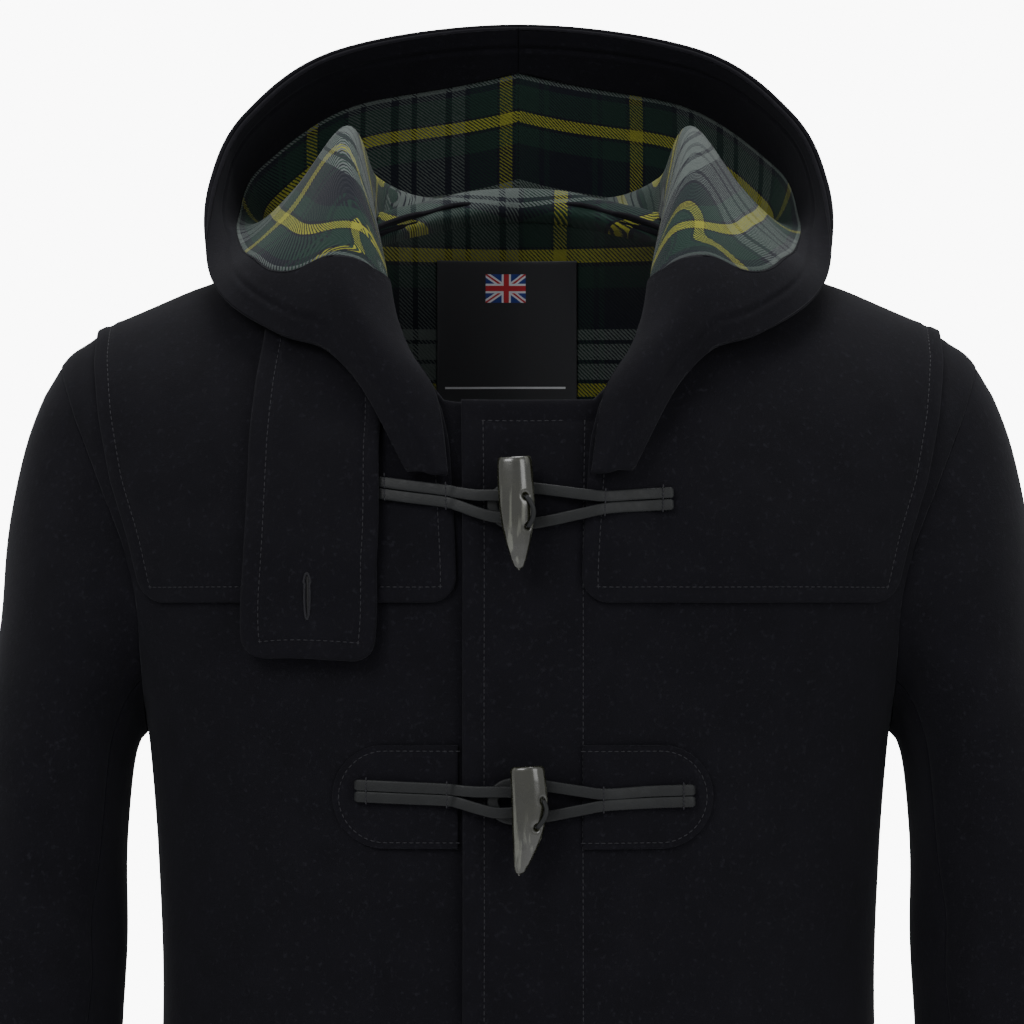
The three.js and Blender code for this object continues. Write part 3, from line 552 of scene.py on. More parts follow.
THROAT_COLUMNS = slice(EDGE_COLUMN, 13)
row_of_stitches("front", left_grid, left_normals, left_far, (slice(1, -4), EDGE_COLUMN))
row_of_stitches("front", left_grid, left_normals, left_far, (slice(1, -4), STAND_COLUMN))
row_of_stitches("front", left_grid, left_normals, left_far, (-4, THROAT_COLUMNS))
row_of_stitches("front", left_grid, left_normals, left_far, (3, slice(1, -1)))

right_lines = [-UNDERLAP_X + d for d in EDGE_LINES]
right_grid = panel_grid(right_lines, front_top, -1, 6) * (-1, 1, 1)
right_normals = seam_normals(right_grid, -1)
right_hem = np.stack([arc(right_grid[:, j]) for j in range(right_grid.shape[1])], 1)
right_far = CLOTH + groove(right_hem - HEM_STITCH, 0.4)
right_front = cloth("right_front", right_grid, right_normals, 0, right_far, MELTON)
sewn(right_front, right_grid, ["front_right"])
row_of_stitches("front", right_grid, right_normals, right_far, (3, slice(1, -1)))

# Back
# The back panel in two halves with a centre seam; it hangs straight from the yoke to the hem.
BACK_STITCH = 9
BACK_LINES = [0, 2.5, 6, 8, 9, 10, 14, 20, 28, 36, 44, 52, 60, 68]
back_grid = panel_grid(BACK_LINES, back_top, 1, 8)
for mark, side_name in ((1, "left"), (-1, "right")):
    points = back_grid * (mark, 1, 1)
    normals = seam_normals(points, 1)
    hem = np.stack([arc(points[:, j]) for j in range(points.shape[1])], 1)
    far = CLOTH + groove(hem - HEM_STITCH, 0.4) + groove(np.abs(points[..., 0]) - BACK_STITCH, 0.45)
    half = cloth(f"{side_name}_back", points, normals, 0, far, MELTON)
    sewn(half, points, [f"back_{side_name}"])
    row_of_stitches("back", points, normals, far, (3, slice(1, -1)))
    row_of_stitches("back", points, normals, far, (slice(1, -2), BACK_LINES.index(BACK_STITCH)))

# Shoulder yoke
# A second layer of melton over each shoulder, from the chest to the shoulder blades, its edge topstitched.
YOKE_FRONT_Z = -193
YOKE_BACK_Z = -203
YOKE_OUTER = [(-193, 194.6), (-160, 203), (-129, 213), (-97, 220), (-70, 224)]
YOKE_INNER = [
    (32, -193), (33, -160), (35.5, -110), (40, -90), (56, -68), (68.5, -42), (75, -20), (78, -7), (79, 2),
]
YOKE_NECK = [(79, 2), (76, 4), (65, 8), (46, 14), (22, 19), (0, 20)]
YOKE_STITCH = 8
YOKE_CORNER = 14
# Places of the grid lines near each edge; the one at YOKE_STITCH carries the topstitching
EDGE = [0, 2.6, 5, 6.8, 8, 9.2, 12, 16]


def yoke_turn(x, z_low):
    return np.arccos(np.clip(1 - (ridge(x) - z_low) / RIDGE_DEPTH, -1, 1))


def yoke_station(x, z, side):
    """A place's share of the way from the shoulder, 0, to the yoke's lower edge, 1 in front and -1 behind."""
    x, z = np.asarray(x, float), np.asarray(z, float)
    low = YOKE_FRONT_Z if side < 0 else YOKE_BACK_Z
    return -side * yoke_turn(x, z) / yoke_turn(x, low)


def yoke_grid():
    front_v = [float(yoke_station(x, z, -1)) for x, z in YOKE_INNER]
    back_v = [float(yoke_station(x, z, 1)) for x, z in YOKE_NECK]
    inner_v = np.array(back_v[::-1] + front_v[-2::-1])
    inner_x = np.array([x for x, _ in YOKE_NECK[::-1]] + [x for x, _ in YOKE_INNER[-2::-1]], float)
    rows = []
    for v in np.linspace(-1, 1, 241):
        side = -1 if v >= 0 else 1
        low = YOKE_FRONT_Z if side < 0 else YOKE_BACK_Z
        start = np.interp(v, inner_v, inner_x) if v > inner_v[0] else 0.0
        end = 221.0
        for _ in range(20):
            z_end = ridge(end) - RIDGE_DEPTH * (1 - math.cos(abs(v) * yoke_turn(end, low)))
            end = float(np.interp(z_end, [z for z, _ in YOKE_OUTER], [x for _, x in YOKE_OUTER]))
        x = np.linspace(start, end, 120)
        z = ridge(x) - RIDGE_DEPTH * (1 - np.cos(abs(v) * yoke_turn(x, low)))
        row = body_point(x, z, side)
        rows.append(spread(row, stations(arc(row)[-1], EDGE, EDGE, 30)))
    grid = np.stack(rows)
    columns = []
    for j in range(grid.shape[1]):
        column = grid[:, j]
        columns.append(spread(column, stations(arc(column)[-1], EDGE, EDGE, 84)))
    return np.stack(columns, 1)


def edge_distances(points):
    """Distances of a grid's points from its first and last row and from its first and last column."""
    rows = np.stack([arc(points[:, j]) for j in range(points.shape[1])], 1)
    columns = np.stack([arc(points[i]) for i in range(points.shape[0])])
    return rows, rows[-1:] - rows, columns, columns[:, -1:] - columns


def rounded_corner(points, row_end, column_end, radius):
    """Rounds one corner of a grid by drawing its outermost points along the surface to an arc."""
    low, high, left, right = edge_distances(points)
    p, q = (high if row_end else low), (right if column_end else left)
    a = np.clip(1 - p / radius, 0, 1)
    b = np.clip(1 - q / radius, 0, 1)
    pull_p = radius * a * (1 - np.sqrt(1 - b * b / 2))
    pull_q = radius * b * (1 - np.sqrt(1 - a * a / 2))
    along_rows = unit(np.gradient(points, axis=0)) * (-1 if row_end else 1)
    along_columns = unit(np.gradient(points, axis=1)) * (-1 if column_end else 1)
    return points + along_rows * pull_p[..., None] + along_columns * pull_q[..., None]


yoke_left = yoke_grid()
yoke_low, yoke_high, yoke_in, yoke_out = edge_distances(yoke_left)
front_in = yoke_in + 200 * (yoke_left[..., 1] > 0)
nearest = np.minimum(np.minimum(yoke_low, yoke_high), np.minimum(front_in, yoke_out))
yoke_relief = groove(nearest - YOKE_STITCH, 0.6)
YOKE_LINE = EDGE.index(YOKE_STITCH)
for corner in ((True, False), (True, True), (False, True)):
    yoke_left = rounded_corner(yoke_left, *corner, YOKE_CORNER)
for mark, side_name in ((1, "left"), (-1, "right")):
    points = yoke_left * (mark, 1, 1)
    normals = grid_normals(points, (0, 0, 1))
    lap = lap_lift(points[..., 0]) * (points[..., 1] < 0) if mark > 0 else 0
    base = CLOTH + LAYER_GAP + 0.15 + lap
    half = cloth(f"{side_name}_yoke", points, normals, base, base + CLOTH + yoke_relief, MELTON)
    sewn(half, points, [f"yoke_{side_name}"])
    inside = slice(YOKE_LINE, -YOKE_LINE)
    half_way = points.shape[0] // 2
    far = base + CLOTH + yoke_relief
    for pick in (
        (YOKE_LINE, slice(1, -YOKE_LINE)),
        (-YOKE_LINE - 1, inside),
        (inside, -YOKE_LINE - 1),
        (slice(half_way, -YOKE_LINE), YOKE_LINE),
    ):
        row_of_stitches("yoke", points, normals, far, pick)

# Sleeves
# Two-piece sleeves set into the armholes, hanging a little forward, open at the cuff.
SLEEVE = [
    (255, -85, 202, -267, 76, 0, 0.12), (264, -110, 205, -275, 76, -2, 0.4),
    (272, -150, 207, -288, 75, -4, 0.8),
    (280, -205, 208, -308, 74, -8, 1), (291, -265, 209, -335, 72, -12, 1), (302, -340, 210, -380, 70, -18, 1),
    (312, -420, 212, -438, 68, -24, 1), (322, -505, 217, -508, 66, -33, 1),
    (333, -595, 227, -595, 62, -45, 1),
    (343, -692, 241, -692, 58, -60, 1),
]
# Folds, as (turn, length, turn, length, half width, depth); turn is 0 at the armpit
SLEEVE_TROUGHS = [
    (0.12, 0.30, 0.42, 0.36, 0.030, 4.0), (0.10, 0.42, 0.38, 0.50, 0.034, 4.5),
    (0.16, 0.56, 0.46, 0.60, 0.034, 4.0),
    (0.30, 0.16, 0.62, 0.30, 0.036, 2.6), (0.14, 0.72, 0.50, 0.70, 0.036, 3.2),
    (0.60, 0.42, 0.84, 0.36, 0.036, 3.0),
    (0.62, 0.60, 0.90, 0.52, 0.036, 3.2), (0.66, 0.78, 0.94, 0.72, 0.036, 2.6),
    (0.36, 0.46, 0.62, 0.56, 0.030, 2.2),
]
HOLE_SHARES = np.concatenate([np.linspace(0, 1, 49), np.linspace(1, 0, 49)[1:]])


def armhole_ring():
    shares = HOLE_SHARES
    x = along([(row[0], row[1]) for row in ARMHOLE], shares)
    z = along([(row[0], row[2]) for row in ARMHOLE], shares)
    side = np.where(np.arange(len(shares)) <= 48, -1, 1)
    ring = np.where((side < 0)[:, None], body_point(x, z, -1), body_point(x, z, 1))
    z_low = z - np.where(shares > 0.99, 4, 0)
    n = np.where((side < 0)[:, None], form_normal(x, z_low, -1), form_normal(x, z_low, 1))
    n = np.where(np.abs(ring[:, 1:2]) < 1, unit(n * (1, 0, 1)), n)
    return ring, n, side


def sleeve_surface(steps):
    """Rings of the sleeve's outer face, from the armhole to the cuff."""
    hole, hole_n, side = armhole_ring()
    top, low = hole[48], hole[0]
    middle, half = (top + low) / 2, (top - low) / 2
    c0 = (hole - middle) @ half / (half @ half)
    aside = (hole - middle - c0[:, None] * half) * (1, 0, 1)
    first = hole + hole_n * CLOTH
    turn = np.arccos(np.clip(c0, -1, 1))
    even = math.pi * (1 - HOLE_SHARES)
    rings = []
    for step in steps:
        row = along([(k, *values) for k, values in enumerate(SLEEVE)], max(step - 1, 0))
        out_x, out_z, in_x, in_z, depth, mid_y, oval = row
        out, inn = np.array([out_x, mid_y, out_z]), np.array([in_x, mid_y, in_z])
        oval = min(max(oval, 0), 1)
        angle = turn + (even - turn) * oval
        c = c0 + (np.cos(angle) - c0) * oval
        y = hole[:, 1] + (side * depth * np.sin(angle) - hole[:, 1]) * oval
        ring = (out + inn) / 2 + c[:, None] * (out - inn) / 2 + aside * (1 - oval)
        ring[:, 1] += y
        rings.append(first + (ring - first) * min(step, 1) if step < 1 else ring)
    return np.stack(rings)


sleeve_rough = sleeve_surface(np.concatenate([np.linspace(0, 1, 7), np.linspace(1, 10, 100)[1:]]))
columns = []
for k in range(97):
    line = sleeve_rough[:, k]
    columns.append(spread(line, stations(arc(line)[-1], [0, 2.6, 6, 10], [0, 3, 34, 35, 36], 76)))
sleeve_points = np.stack(columns, 1)
ring_turn = np.linspace(0, 1, 97)[None, :]
ring_length = np.linspace(0, 1, sleeve_points.shape[0])[:, None]
round_step = np.roll(sleeve_points, -1, 1) - np.roll(sleeve_points, 1, 1)
sleeve_out = unit(np.cross(round_step, np.gradient(sleeve_points, axis=0)))
ring_middle = sleeve_points[:, :96].mean(1, keepdims=True)
sleeve_out *= np.sign((sleeve_out * (sleeve_points - ring_middle)).sum(-1, keepdims=True))
folds = troughs(ring_turn, ring_length, SLEEVE_TROUGHS) * ease(ring_length / 0.1)
ripple = 0.9 * np.sin(ring_turn * 19 + ring_length * 7) * np.sin(ring_length * 23 + 1)
ripple = ripple * ease(ring_length / 0.12)
sleeve_points = sleeve_points + sleeve_out * (folds + ripple)[..., None]
sleeve_points[:, 96] = sleeve_points[:, 0]
sleeve_out[:, 96] = sleeve_out[:, 0]
HOLE_NORMALS = armhole_ring()[1]
blend = ease(HOLE_SHARES / 0.45)[:, None]
sleeve_out[0] = unit(HOLE_NORMALS * blend + sleeve_out[1] * (1 - blend))
for row, share in ((1, 0.6), (2, 0.25)):
    sleeve_out[row] = unit(sleeve_out[0] * share + sleeve_out[row] * (1 - share))
UNDER = 12
for mark, side_name in ((1, "left"), (-1, "right")):
    for part, pick in (("upper", np.arange(UNDER, 97 - UNDER)), ("under", np.arange(-UNDER, UNDER + 1) % 96)):
        points = sleeve_points[:, pick] * (mark, 1, 1)
        normals = sleeve_out[:, pick] * (mark, 1, 1)
        cuff = edge_distances(points)[1]
        far = groove(cuff - 35, 0.4)
        piece = cloth(f"{side_name}_sleeve_{part}", points, normals, -CLOTH, far, MELTON)
        sewn(piece, points, [f"sleeve_{side_name}_{part}"])

# Hood
# Worn down on the back: two melton halves joined along the middle, open in front, falling from the neck seam.
# Profiles run from the neck seam to the free edge. "L" marks distance, height and lift over the front's face.
HOOD_PROFILES = [
    [("L", 36, -128, 9), ("L", 40, -128, 11), ("L", 44, -128, 12), ("L", 48, -127, 12.5), ("L", 52, -127, 12),
     ("L", 55, -127, 11)],
    [("L", 41, -90, 9), ("L", 47, -88, 15), ("L", 54, -87, 20), ("L", 61, -87, 22), ("L", 68, -88, 19),
     ("L", 74, -89, 15)],
    [("L", 56, -66, 9), ("L", 61, -60, 18), ("L", 69, -55, 28), ("L", 79, -57, 31), ("L", 88, -63, 26),
     ("L", 95, -70, 17)],
    [("L", 67, -38, 8), (72, -84, -16), (83, -88, -2), (99, -92, -8), (113, -96, -30), (125, -94, -53)],
    [("L", 74, -14, 8), (79, -48, 18), (90, -46, 36), (109, -52, 16), (134, -64, -12), (155, -66, -34)],
    [(79, 6, 10), (81, 7, 38), (93, 8, 60), (117, -6, 28), (145, -20, -4), (167, -20, -8)],
    [(72, 36, 14), (77, 46, 34), (99, 60, 36), (128, 66, 12), (153, 48, 12), (165, 16, 32)],
    [(50, 62, 20), (57, 84, 24), (84, 116, 0), (118, 128, -8), (142, 98, 40), (147, 46, 70)],
    [(26, 75, 26), (29, 106, 16), (45, 156, -54), (70, 170, -40), (88, 132, 56), (98, 77, 106)],
    [(0, 79, 28), (0, 114, 12), (0, 160, -76), (0, 178, -60), (0, 150, 40), (0, 95, 121)],
]


def hood_spot(place, lap):
    if place[0] == "L":
        x, z, lift = place[1:]
        return form_point(x, z, -1) + form_normal(x, z, -1) * (lift + lap * float(lap_lift(x)))
    return np.array(place, float)


def hood_surface(lap, steps_u, steps_v):
    """Points of the inner face of a hood half, by steps along the opening and from neck seam to rim."""
    nodes = [[hood_spot(place, lap) for place in profile] for profile in HOOD_PROFILES]
    # one more profile beyond the middle seam, the mirrored last but one, keeps the hood smooth there
    nodes = np.array(nodes + [[spot * (-1, 1, 1) for spot in nodes[-2]]])
    by_u = along([(k, *nodes[k].ravel()) for k in range(len(nodes))], steps_u).reshape(len(steps_u), 6, 3)
    return np.stack([along([(k, *row[k]) for k in range(6)], steps_v) for row in by_u])


HOOD_U = np.linspace(0, 9, 127)
HOOD_V = np.concatenate([np.linspace(0, 4.4, 46), np.linspace(4.4, 5, 13)[1:]])
RIM_STITCH = 13


def middle_normals(points):
    """Normals on the outside of the hood's left half; flat in the middle seam, where both halves meet."""
    n = unit(np.cross(np.gradient(points, axis=0), np.gradient(points, axis=1)))
    n[-1] = unit(n[-1] * (0, 1, 1))
    return n


# Where the lining meets the facing, and the rim opposite: (step, u at their line, v there, u at the rim)
FACING_EDGE = [
    (0, 0, 0, 0), (1, 1.5, 0, 0.9), (2, 2.9, 0, 1.6), (3, 2.65, 1.4, 2.1), (4, 2.72, 2.6, 2.5),
    (5, 3.15, 3.6, 3.0),
    (6, 3.6, 4.05, 3.5), (7, 4.2, 4.1, 4.2), (8, 5, 4.1, 5), (9, 6, 4.05, 6), (10, 7, 4.1, 7),
    (11, 8, 4.35, 8),
    (12, 9, 4.62, 9),
]
LINING_NECK = [
    (2, 2.9), (3, 2.98), (4, 3.12), (5, 3.4), (6, 3.8), (7, 4.35), (8, 5), (9, 6), (10, 7), (11, 8),
    (12, 9),
]


def hood_sheet(surface, u, v):
    """Points of the hood's surface grid at any steps, by linear interpolation."""
    at_u = np.clip(np.interp(u, HOOD_U, np.arange(len(HOOD_U))), 0, len(HOOD_U) - 1.001)
    at_v = np.clip(np.interp(v, HOOD_V, np.arange(len(HOOD_V))), 0, len(HOOD_V) - 1.001)
    i, j = at_u.astype(int), at_v.astype(int)
    a, b = (at_u - i)[..., None], (at_v - j)[..., None]
    low = surface[i, j] * (1 - b) + surface[i, j + 1] * b
    high = surface[i + 1, j] * (1 - b) + surface[i + 1, j + 1] * b
    return low * (1 - a) + high * a


HOOD_HALVES = {}
for mark, side_name in ((1, "left"), (-1, "right")):
    points = hood_surface(1 if mark > 0 else 0, HOOD_U, HOOD_V)
    normals = middle_normals(points) * (mark, 1, 1)
    points = points * (mark, 1, 1)
    HOOD_HALVES[side_name] = (points, normals)
    rim = edge_distances(points)[3]
    far = CLOTH + groove(rim - RIM_STITCH, 0.7, 1.3)
    shell = cloth(f"{side_name}_hood", points, normals, 0, far, MELTON)
    sewn(shell, points, [f"hood_{side_name}"])
    at_rim = int(np.argmin(np.abs(rim[60] - RIM_STITCH)))
    row_of_stitches("hood", points, normals, far, (slice(1, None), at_rim))
    steps = np.linspace(0, 12, 150)
    edge = along(FACING_EDGE, steps)
    w = np.concatenate([np.linspace(0, 0.6, 22), np.linspace(0.6, 1, 15)[1:]])[None, :]
    u = edge[:, 0:1] * (1 - w) + edge[:, 2:3] * w
    v = edge[:, 1:2] * (1 - w) + 5 * w
    facing = hood_sheet(points, u, v)
    facing_n = hood_sheet(normals, u, v)
    rim = edge_distances(facing)[3]
    near = -CLOTH - LAYER_GAP - groove(rim - RIM_STITCH, 0.7, 1.3)
    piece = cloth(f"{side_name}_facing", facing, unit(facing_n), near, -LAYER_GAP * 0.4, MELTON)
    sewn(piece, facing, [f"hood_facing_{side_name}"])

# Tartan lining
# Brushed wool twill in a traditional green and navy check with white bars and a yellow line.
# It lines the hood and the back, and is sewn in along the facing.
SETT = 186.0
NAVY = (0.003, 0.0034, 0.008)
GREEN = (0.005, 0.018, 0.013)
YELLOW = (0.17, 0.17, 0.016)
WHITE = (0.060, 0.072, 0.068)
# Stripes as (millimetres from the start of the sett, colour), across the cloth and down it
SETT_ACROSS = [
    (0, YELLOW), (7, NAVY), (9, GREEN), (22, NAVY), (25, GREEN), (28, NAVY), (52, GREEN), (55, NAVY),
    (58, GREEN),
    (71, NAVY), (73, YELLOW), (80, NAVY), (82, GREEN), (97, NAVY), (100, WHITE), (107, NAVY), (111, WHITE),
    (127, NAVY), (130, WHITE), (137, NAVY), (141, WHITE), (156, NAVY), (159, WHITE), (166, NAVY),
    (169, GREEN),
    (184, NAVY),
]
SETT_DOWN = [
    (0, YELLOW), (7, NAVY), (9, GREEN), (21, NAVY), (43, WHITE), (49, NAVY), (51, WHITE), (60, NAVY),
    (62, WHITE),
    (71, NAVY), (73, YELLOW), (80, NAVY), (82, GREEN), (98, NAVY), (102, WHITE), (109, NAVY), (112, WHITE),
    (126, NAVY), (129, WHITE), (142, NAVY), (145, WHITE), (158, NAVY), (161, WHITE), (164, NAVY),
    (168, GREEN),
    (184, NAVY),
]
TWILL = 2.2


def tartan(name):
    shade = Shade(name)
    cut = shade.node("ShaderNodeUVMap", {"uv_map": "cut"})
    x = shade.node("ShaderNodeSeparateXYZ", {}, cut)
    y = Value(shade, x.out.node.outputs[1])
    ends = []
    for across, stripes in ((x, SETT_ACROSS), (y, SETT_DOWN)):
        stops = [(start / SETT, color) for start, color in stripes]
        sett = (across * (1 / (SETT * MM))).fract()
        ends.append(shade.node("ShaderNodeValToRGB", {"interpolation": "CONSTANT", "stops": stops}, sett))
    fuzz = shade.noise(shade.object_place(), 900, 3)
    rib = ((x + y) * (1 / (TWILL * MM)) + fuzz * 0.5).fract()
    over = (rib - 0.3).math("MULTIPLY", 5.0).math("MAXIMUM", 0.0).math("MINIMUM", 1.0)
    woven = shade.mix(over, ends[0], ends[1])
    brushed = shade.mix(shade.noise(shade.object_place(), 260, 4) * 0.35, woven, (0.007, 0.012, 0.012))
    ridge_height = (rib - 0.5).math("ABSOLUTE") * 2
    normal = shade.bump(ridge_height + fuzz * 0.6, 0.0004, 0.5)
    return shade.surface(
        Base_Color=brushed, Roughness=0.9, Normal=normal, Sheen_Weight=0.05, Sheen_Roughness=0.5,
        Specular_IOR_Level=0.15,
    )


TARTAN = tartan("tartan")
LINING = 1.3


def lay_uv(made, rows_by, columns_by):
    """Sets a cloth's UV in metres from two grids of distances; the rounded edge takes its neighbour's."""
    rows, cols = rows_by.shape
    ri, rj = np.array(rim_of(rows, cols)).T
    flat = np.stack([rows_by, columns_by], -1)
    uv = np.concatenate([flat.reshape(-1, 2)] * 2 + [flat[ri, rj]] * len(TURN)) * MM
    mesh = made.data
    corner = np.empty(len(mesh.loops), int)
    mesh.loops.foreach_get("vertex_index", corner)
    mesh.uv_layers["cut"].data.foreach_set("uv", uv[corner].ravel())


# Where the check lies on each half: (sett place of the middle seam, sense, sett place of the edge)
CHECK_AT = {"left": (69.9, -1, -24.5), "right": (69.9, 1, -24.5)}
for side_name in ("left", "right"):
    points, normals = HOOD_HALVES[side_name]
    steps = np.linspace(2.12, 12, 141)
    edge = along(FACING_EDGE, steps)
    neck = along(LINING_NECK, steps)[:, None]
    w = np.linspace(0, 1, 45)[None, :]
    u = neck * (1 - w) + edge[:, 0:1] * w
    v = edge[:, 1:2] * w
    lining = hood_sheet(points, u, v)
    lining_n = unit(hood_sheet(normals, u, v))
    piece = cloth(f"{side_name}_hood_lining", lining, lining_n, -LINING - LAYER_GAP, -LAYER_GAP, TARTAN)
    low, high, inner, outer = edge_distances(lining)
    seam, sense, edge_place = CHECK_AT[side_name]
    lay_uv(piece, seam + sense * high, edge_place + outer)
    sewn(piece, lining, [f"hood_lining_{side_name}"])

# Inside of the back, where the neck opening shows it
BACK_LINING_X = np.linspace(-118, 118, 80)
back_lining = []
for x in BACK_LINING_X:
    head = float(back_top(np.array(abs(x))))
    z = head - 2.5 - (head + 210) * np.linspace(0, 1, 160)[::-1] ** 1.5
    column = body_point(np.full(160, x), z, 1)
    back_lining.append(spread(column, np.linspace(0, arc(column)[-1], 70)))
back_lining = np.stack(back_lining, 1)
back_normals = grid_normals(back_lining, (0, 1, 0))
piece = cloth("back_lining", back_lining, back_normals, -LINING - LAYER_GAP, -LAYER_GAP, TARTAN)
low, high, inner, outer = edge_distances(back_lining)
lay_uv(piece, 100.3 - back_lining[..., 0], -1.1 - back_lining[..., 2])
back_nodes = ["back_lining_left", "back_lining_right"]
sewn(piece, back_lining, back_nodes)

# The lining's upper edge is turned over the neck seam, up to the lining of the hood
HOOD_NECK = [(0, 79, 28), (26, 75, 26), (50, 62, 20), (66, 46, 16), (72, 36, 14), (77, 20, 12)]
turnover = []
for x in np.linspace(-76, 76, 90):
    head = float(back_top(np.array(abs(x))))
    low_point = body_point(x, head - 7, 1) - (0, 2.4, 0)
    edge_point = body_point(x, head - 1.5, 1) + (0, -2.6, 0.5)
    hood_point = np.array([x, *along(HOOD_NECK, abs(x))])
    towards = np.array([np.sign(x) * 0.5 * min(abs(x) / 40, 1), 1.0, 0.0])
    stops = [low_point, edge_point, (edge_point + hood_point) / 2 + (0, -1.5, 2.6), hood_point + (0, 0, 2.6)]
    stops.append(hood_point + towards * 12 + (0, 0, 1.2))
    turnover.append(along([(k, *stop) for k, stop in enumerate(stops)], np.linspace(0, 4, 25)))
turnover = np.stack(turnover, 1)
turnover_out = unit(np.cross(np.gradient(turnover, axis=0), np.gradient(turnover, axis=1)))
turnover_out *= np.sign(turnover_out[12, 45, 2])
piece = cloth("neck_turnover", turnover, turnover_out, -0.5, 0.7, TARTAN)
lay_uv(piece, 100.3 - turnover[..., 0], -1.1 - turnover[..., 2] - 0.4 * (turnover[..., 1] - 70))
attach(piece, "root")
flat, area = cut_size(turnover)

# Woven label
# A charcoal damask label sewn in at the back neck, with a small Union flag and a thin rule.
LABEL_X = (-46, 33)
LABEL_Z = (-100, -7)
FLAG_AT = (-7.3, -21.5)
FLAG_HALF = (11.6, 7.8)
RULE_Z = -76.5


def woven_label(name):
    shade = Shade(name)
    cut = shade.node("ShaderNodeUVMap", {"uv_map": "cut"})
    x = shade.node("ShaderNodeSeparateXYZ", {}, cut) * 1000
    y = Value(shade, x.out.node.inputs[0].links[0].from_node.outputs[1]) * 1000
    a, b = x - FLAG_AT[0], y - FLAG_AT[1]
    lean = math.atan2(FLAG_HALF[1], FLAG_HALF[0])
    up = (a * math.sin(lean) - b * math.cos(lean)).math("ABSOLUTE")
    down = (a * math.sin(lean) + b * math.cos(lean)).math("ABSOLUTE")
    diagonal = up.math("MINIMUM", down)
    cross = a.math("ABSOLUTE").math("MINIMUM", b.math("ABSOLUTE"))
    flag = shade.mix(diagonal.math("LESS_THAN", 1.5), (0.012, 0.03, 0.2), (0.6, 0.62, 0.66))
    flag = shade.mix(diagonal.math("LESS_THAN", 0.5), flag, (0.42, 0.02, 0.03))
    flag = shade.mix(cross.math("LESS_THAN", 2.6), flag, (0.6, 0.62, 0.66))
    flag = shade.mix(cross.math("LESS_THAN", 1.5), flag, (0.42, 0.02, 0.03))
    inside_across = a.math("ABSOLUTE").math("LESS_THAN", FLAG_HALF[0])
    inside = inside_across * b.math("ABSOLUTE").math("LESS_THAN", FLAG_HALF[1])
    rule_down = (y - RULE_Z).math("ABSOLUTE").math("LESS_THAN", 0.55)
    rule = rule_down * (x + 7.5).math("ABSOLUTE").math("LESS_THAN", 34.0)
    weave = shade.noise(shade.object_place(), 1800, 2)
    ground = shade.mix(weave, (0.014, 0.0145, 0.017), (0.026, 0.027, 0.031))
    face = shade.mix(rule, shade.mix(inside, ground, flag), (0.5, 0.51, 0.53))
    ribs = (y * 1.6).fract().math("SUBTRACT", 0.5).math("ABSOLUTE")
    return shade.surface(Base_Color=face, Roughness=0.62, Normal=shade.bump(ribs, 0.00015, 0.5))


WOVEN = woven_label("woven_label")
label_x, label_z = np.meshgrid(np.linspace(*LABEL_X, 40), np.linspace(*LABEL_Z, 46))
label_points = body_point(label_x, label_z, 1)
label_normals = grid_normals(label_points, (0, 1, 0))
label_in = -LINING - 2 * LAYER_GAP
piece = cloth("neck_label", label_points, label_normals, label_in - 0.8, label_in, WOVEN)
lay_uv(piece, label_x, label_z)
sewn(piece, label_points, ["label"])

# Throat tab
# A double strap of melton with a keyhole buttonhole, folded down at the wearer's right and stitched round.
TAB_EDGES = [
    (-225, -134, -76), (-220, -137, -74), (-212, -141, -72.4), (-196, -142, -72), (-176, -141, -72),
    (-160, -140, -71), (-141, -139, -70.4), (-122, -138.5, -70), (-108, -138, -69.6), (-80, -135, -69.5),
    (-56, -131, -70),
]
TAB_LIFT = 7.2
TAB_STITCH = 10
TAB_THICK = 4
tab_rows = []
for z in np.linspace(-222, -56, 200):
    left, right = along(TAB_EDGES, z)
    x = np.linspace(left, right, 60)
    sag = 1.6 * np.sin((x + 142) / 72 * 5.0) * ease((-190 - z) / 30)
    row = body_point(x, z + sag, -1)
    tab_places = stations(arc(row)[-1], [0, 2.5, 5.5, 8.6, 10, 11.4], [0, 2.5, 5, 7.2, 8.5, 9.8], 22)
    tab_rows.append(spread(row, tab_places))
tab_rows = np.stack(tab_rows)
tab_points = np.stack(
    [
        spread(tab_rows[:, j], stations(arc(tab_rows[:, j])[-1], [0, 2.5, 5, 8.6, 10, 11.4], [0, 4, 8], 60))
        for j in range(tab_rows.shape[1])
    ],
    1,
)
low, high, left_in, right_in = edge_distances(tab_points)
tab_relief = groove(np.minimum(np.minimum(low, left_in), right_in + 1.5) - TAB_STITCH, 0.6, 1.2)
# it bows out a little over the end of the first strap and at its free end
x, z = tab_points[..., 0], tab_points[..., 2]
over_strap = ease((x + 112) / 22) * ease((-100 - z) / 16) * ease((z + 184) / 16)
tab_base = TAB_LIFT - CLOTH + CLOTH + 2.8 * over_strap + 3.0 * ease((-196 - z) / 30)
for corner in ((False, False), (False, True)):
    tab_points = rounded_corner(tab_points, *corner, 9)
tab_normals = grid_normals(tab_points, (0, -1, 0))
tab = cloth("throat_strap", tab_points, tab_normals, tab_base, tab_base + TAB_THICK + tab_relief, MELTON)
sewn(tab, tab_points, ["throat_tab"])
tab_far = tab_base + TAB_THICK + tab_relief
for pick in ((4, slice(4, -4)), (slice(4, -1), 4), (slice(4, -1), -5)):
    row_of_stitches("tab", tab_points, tab_normals, tab_far, pick)

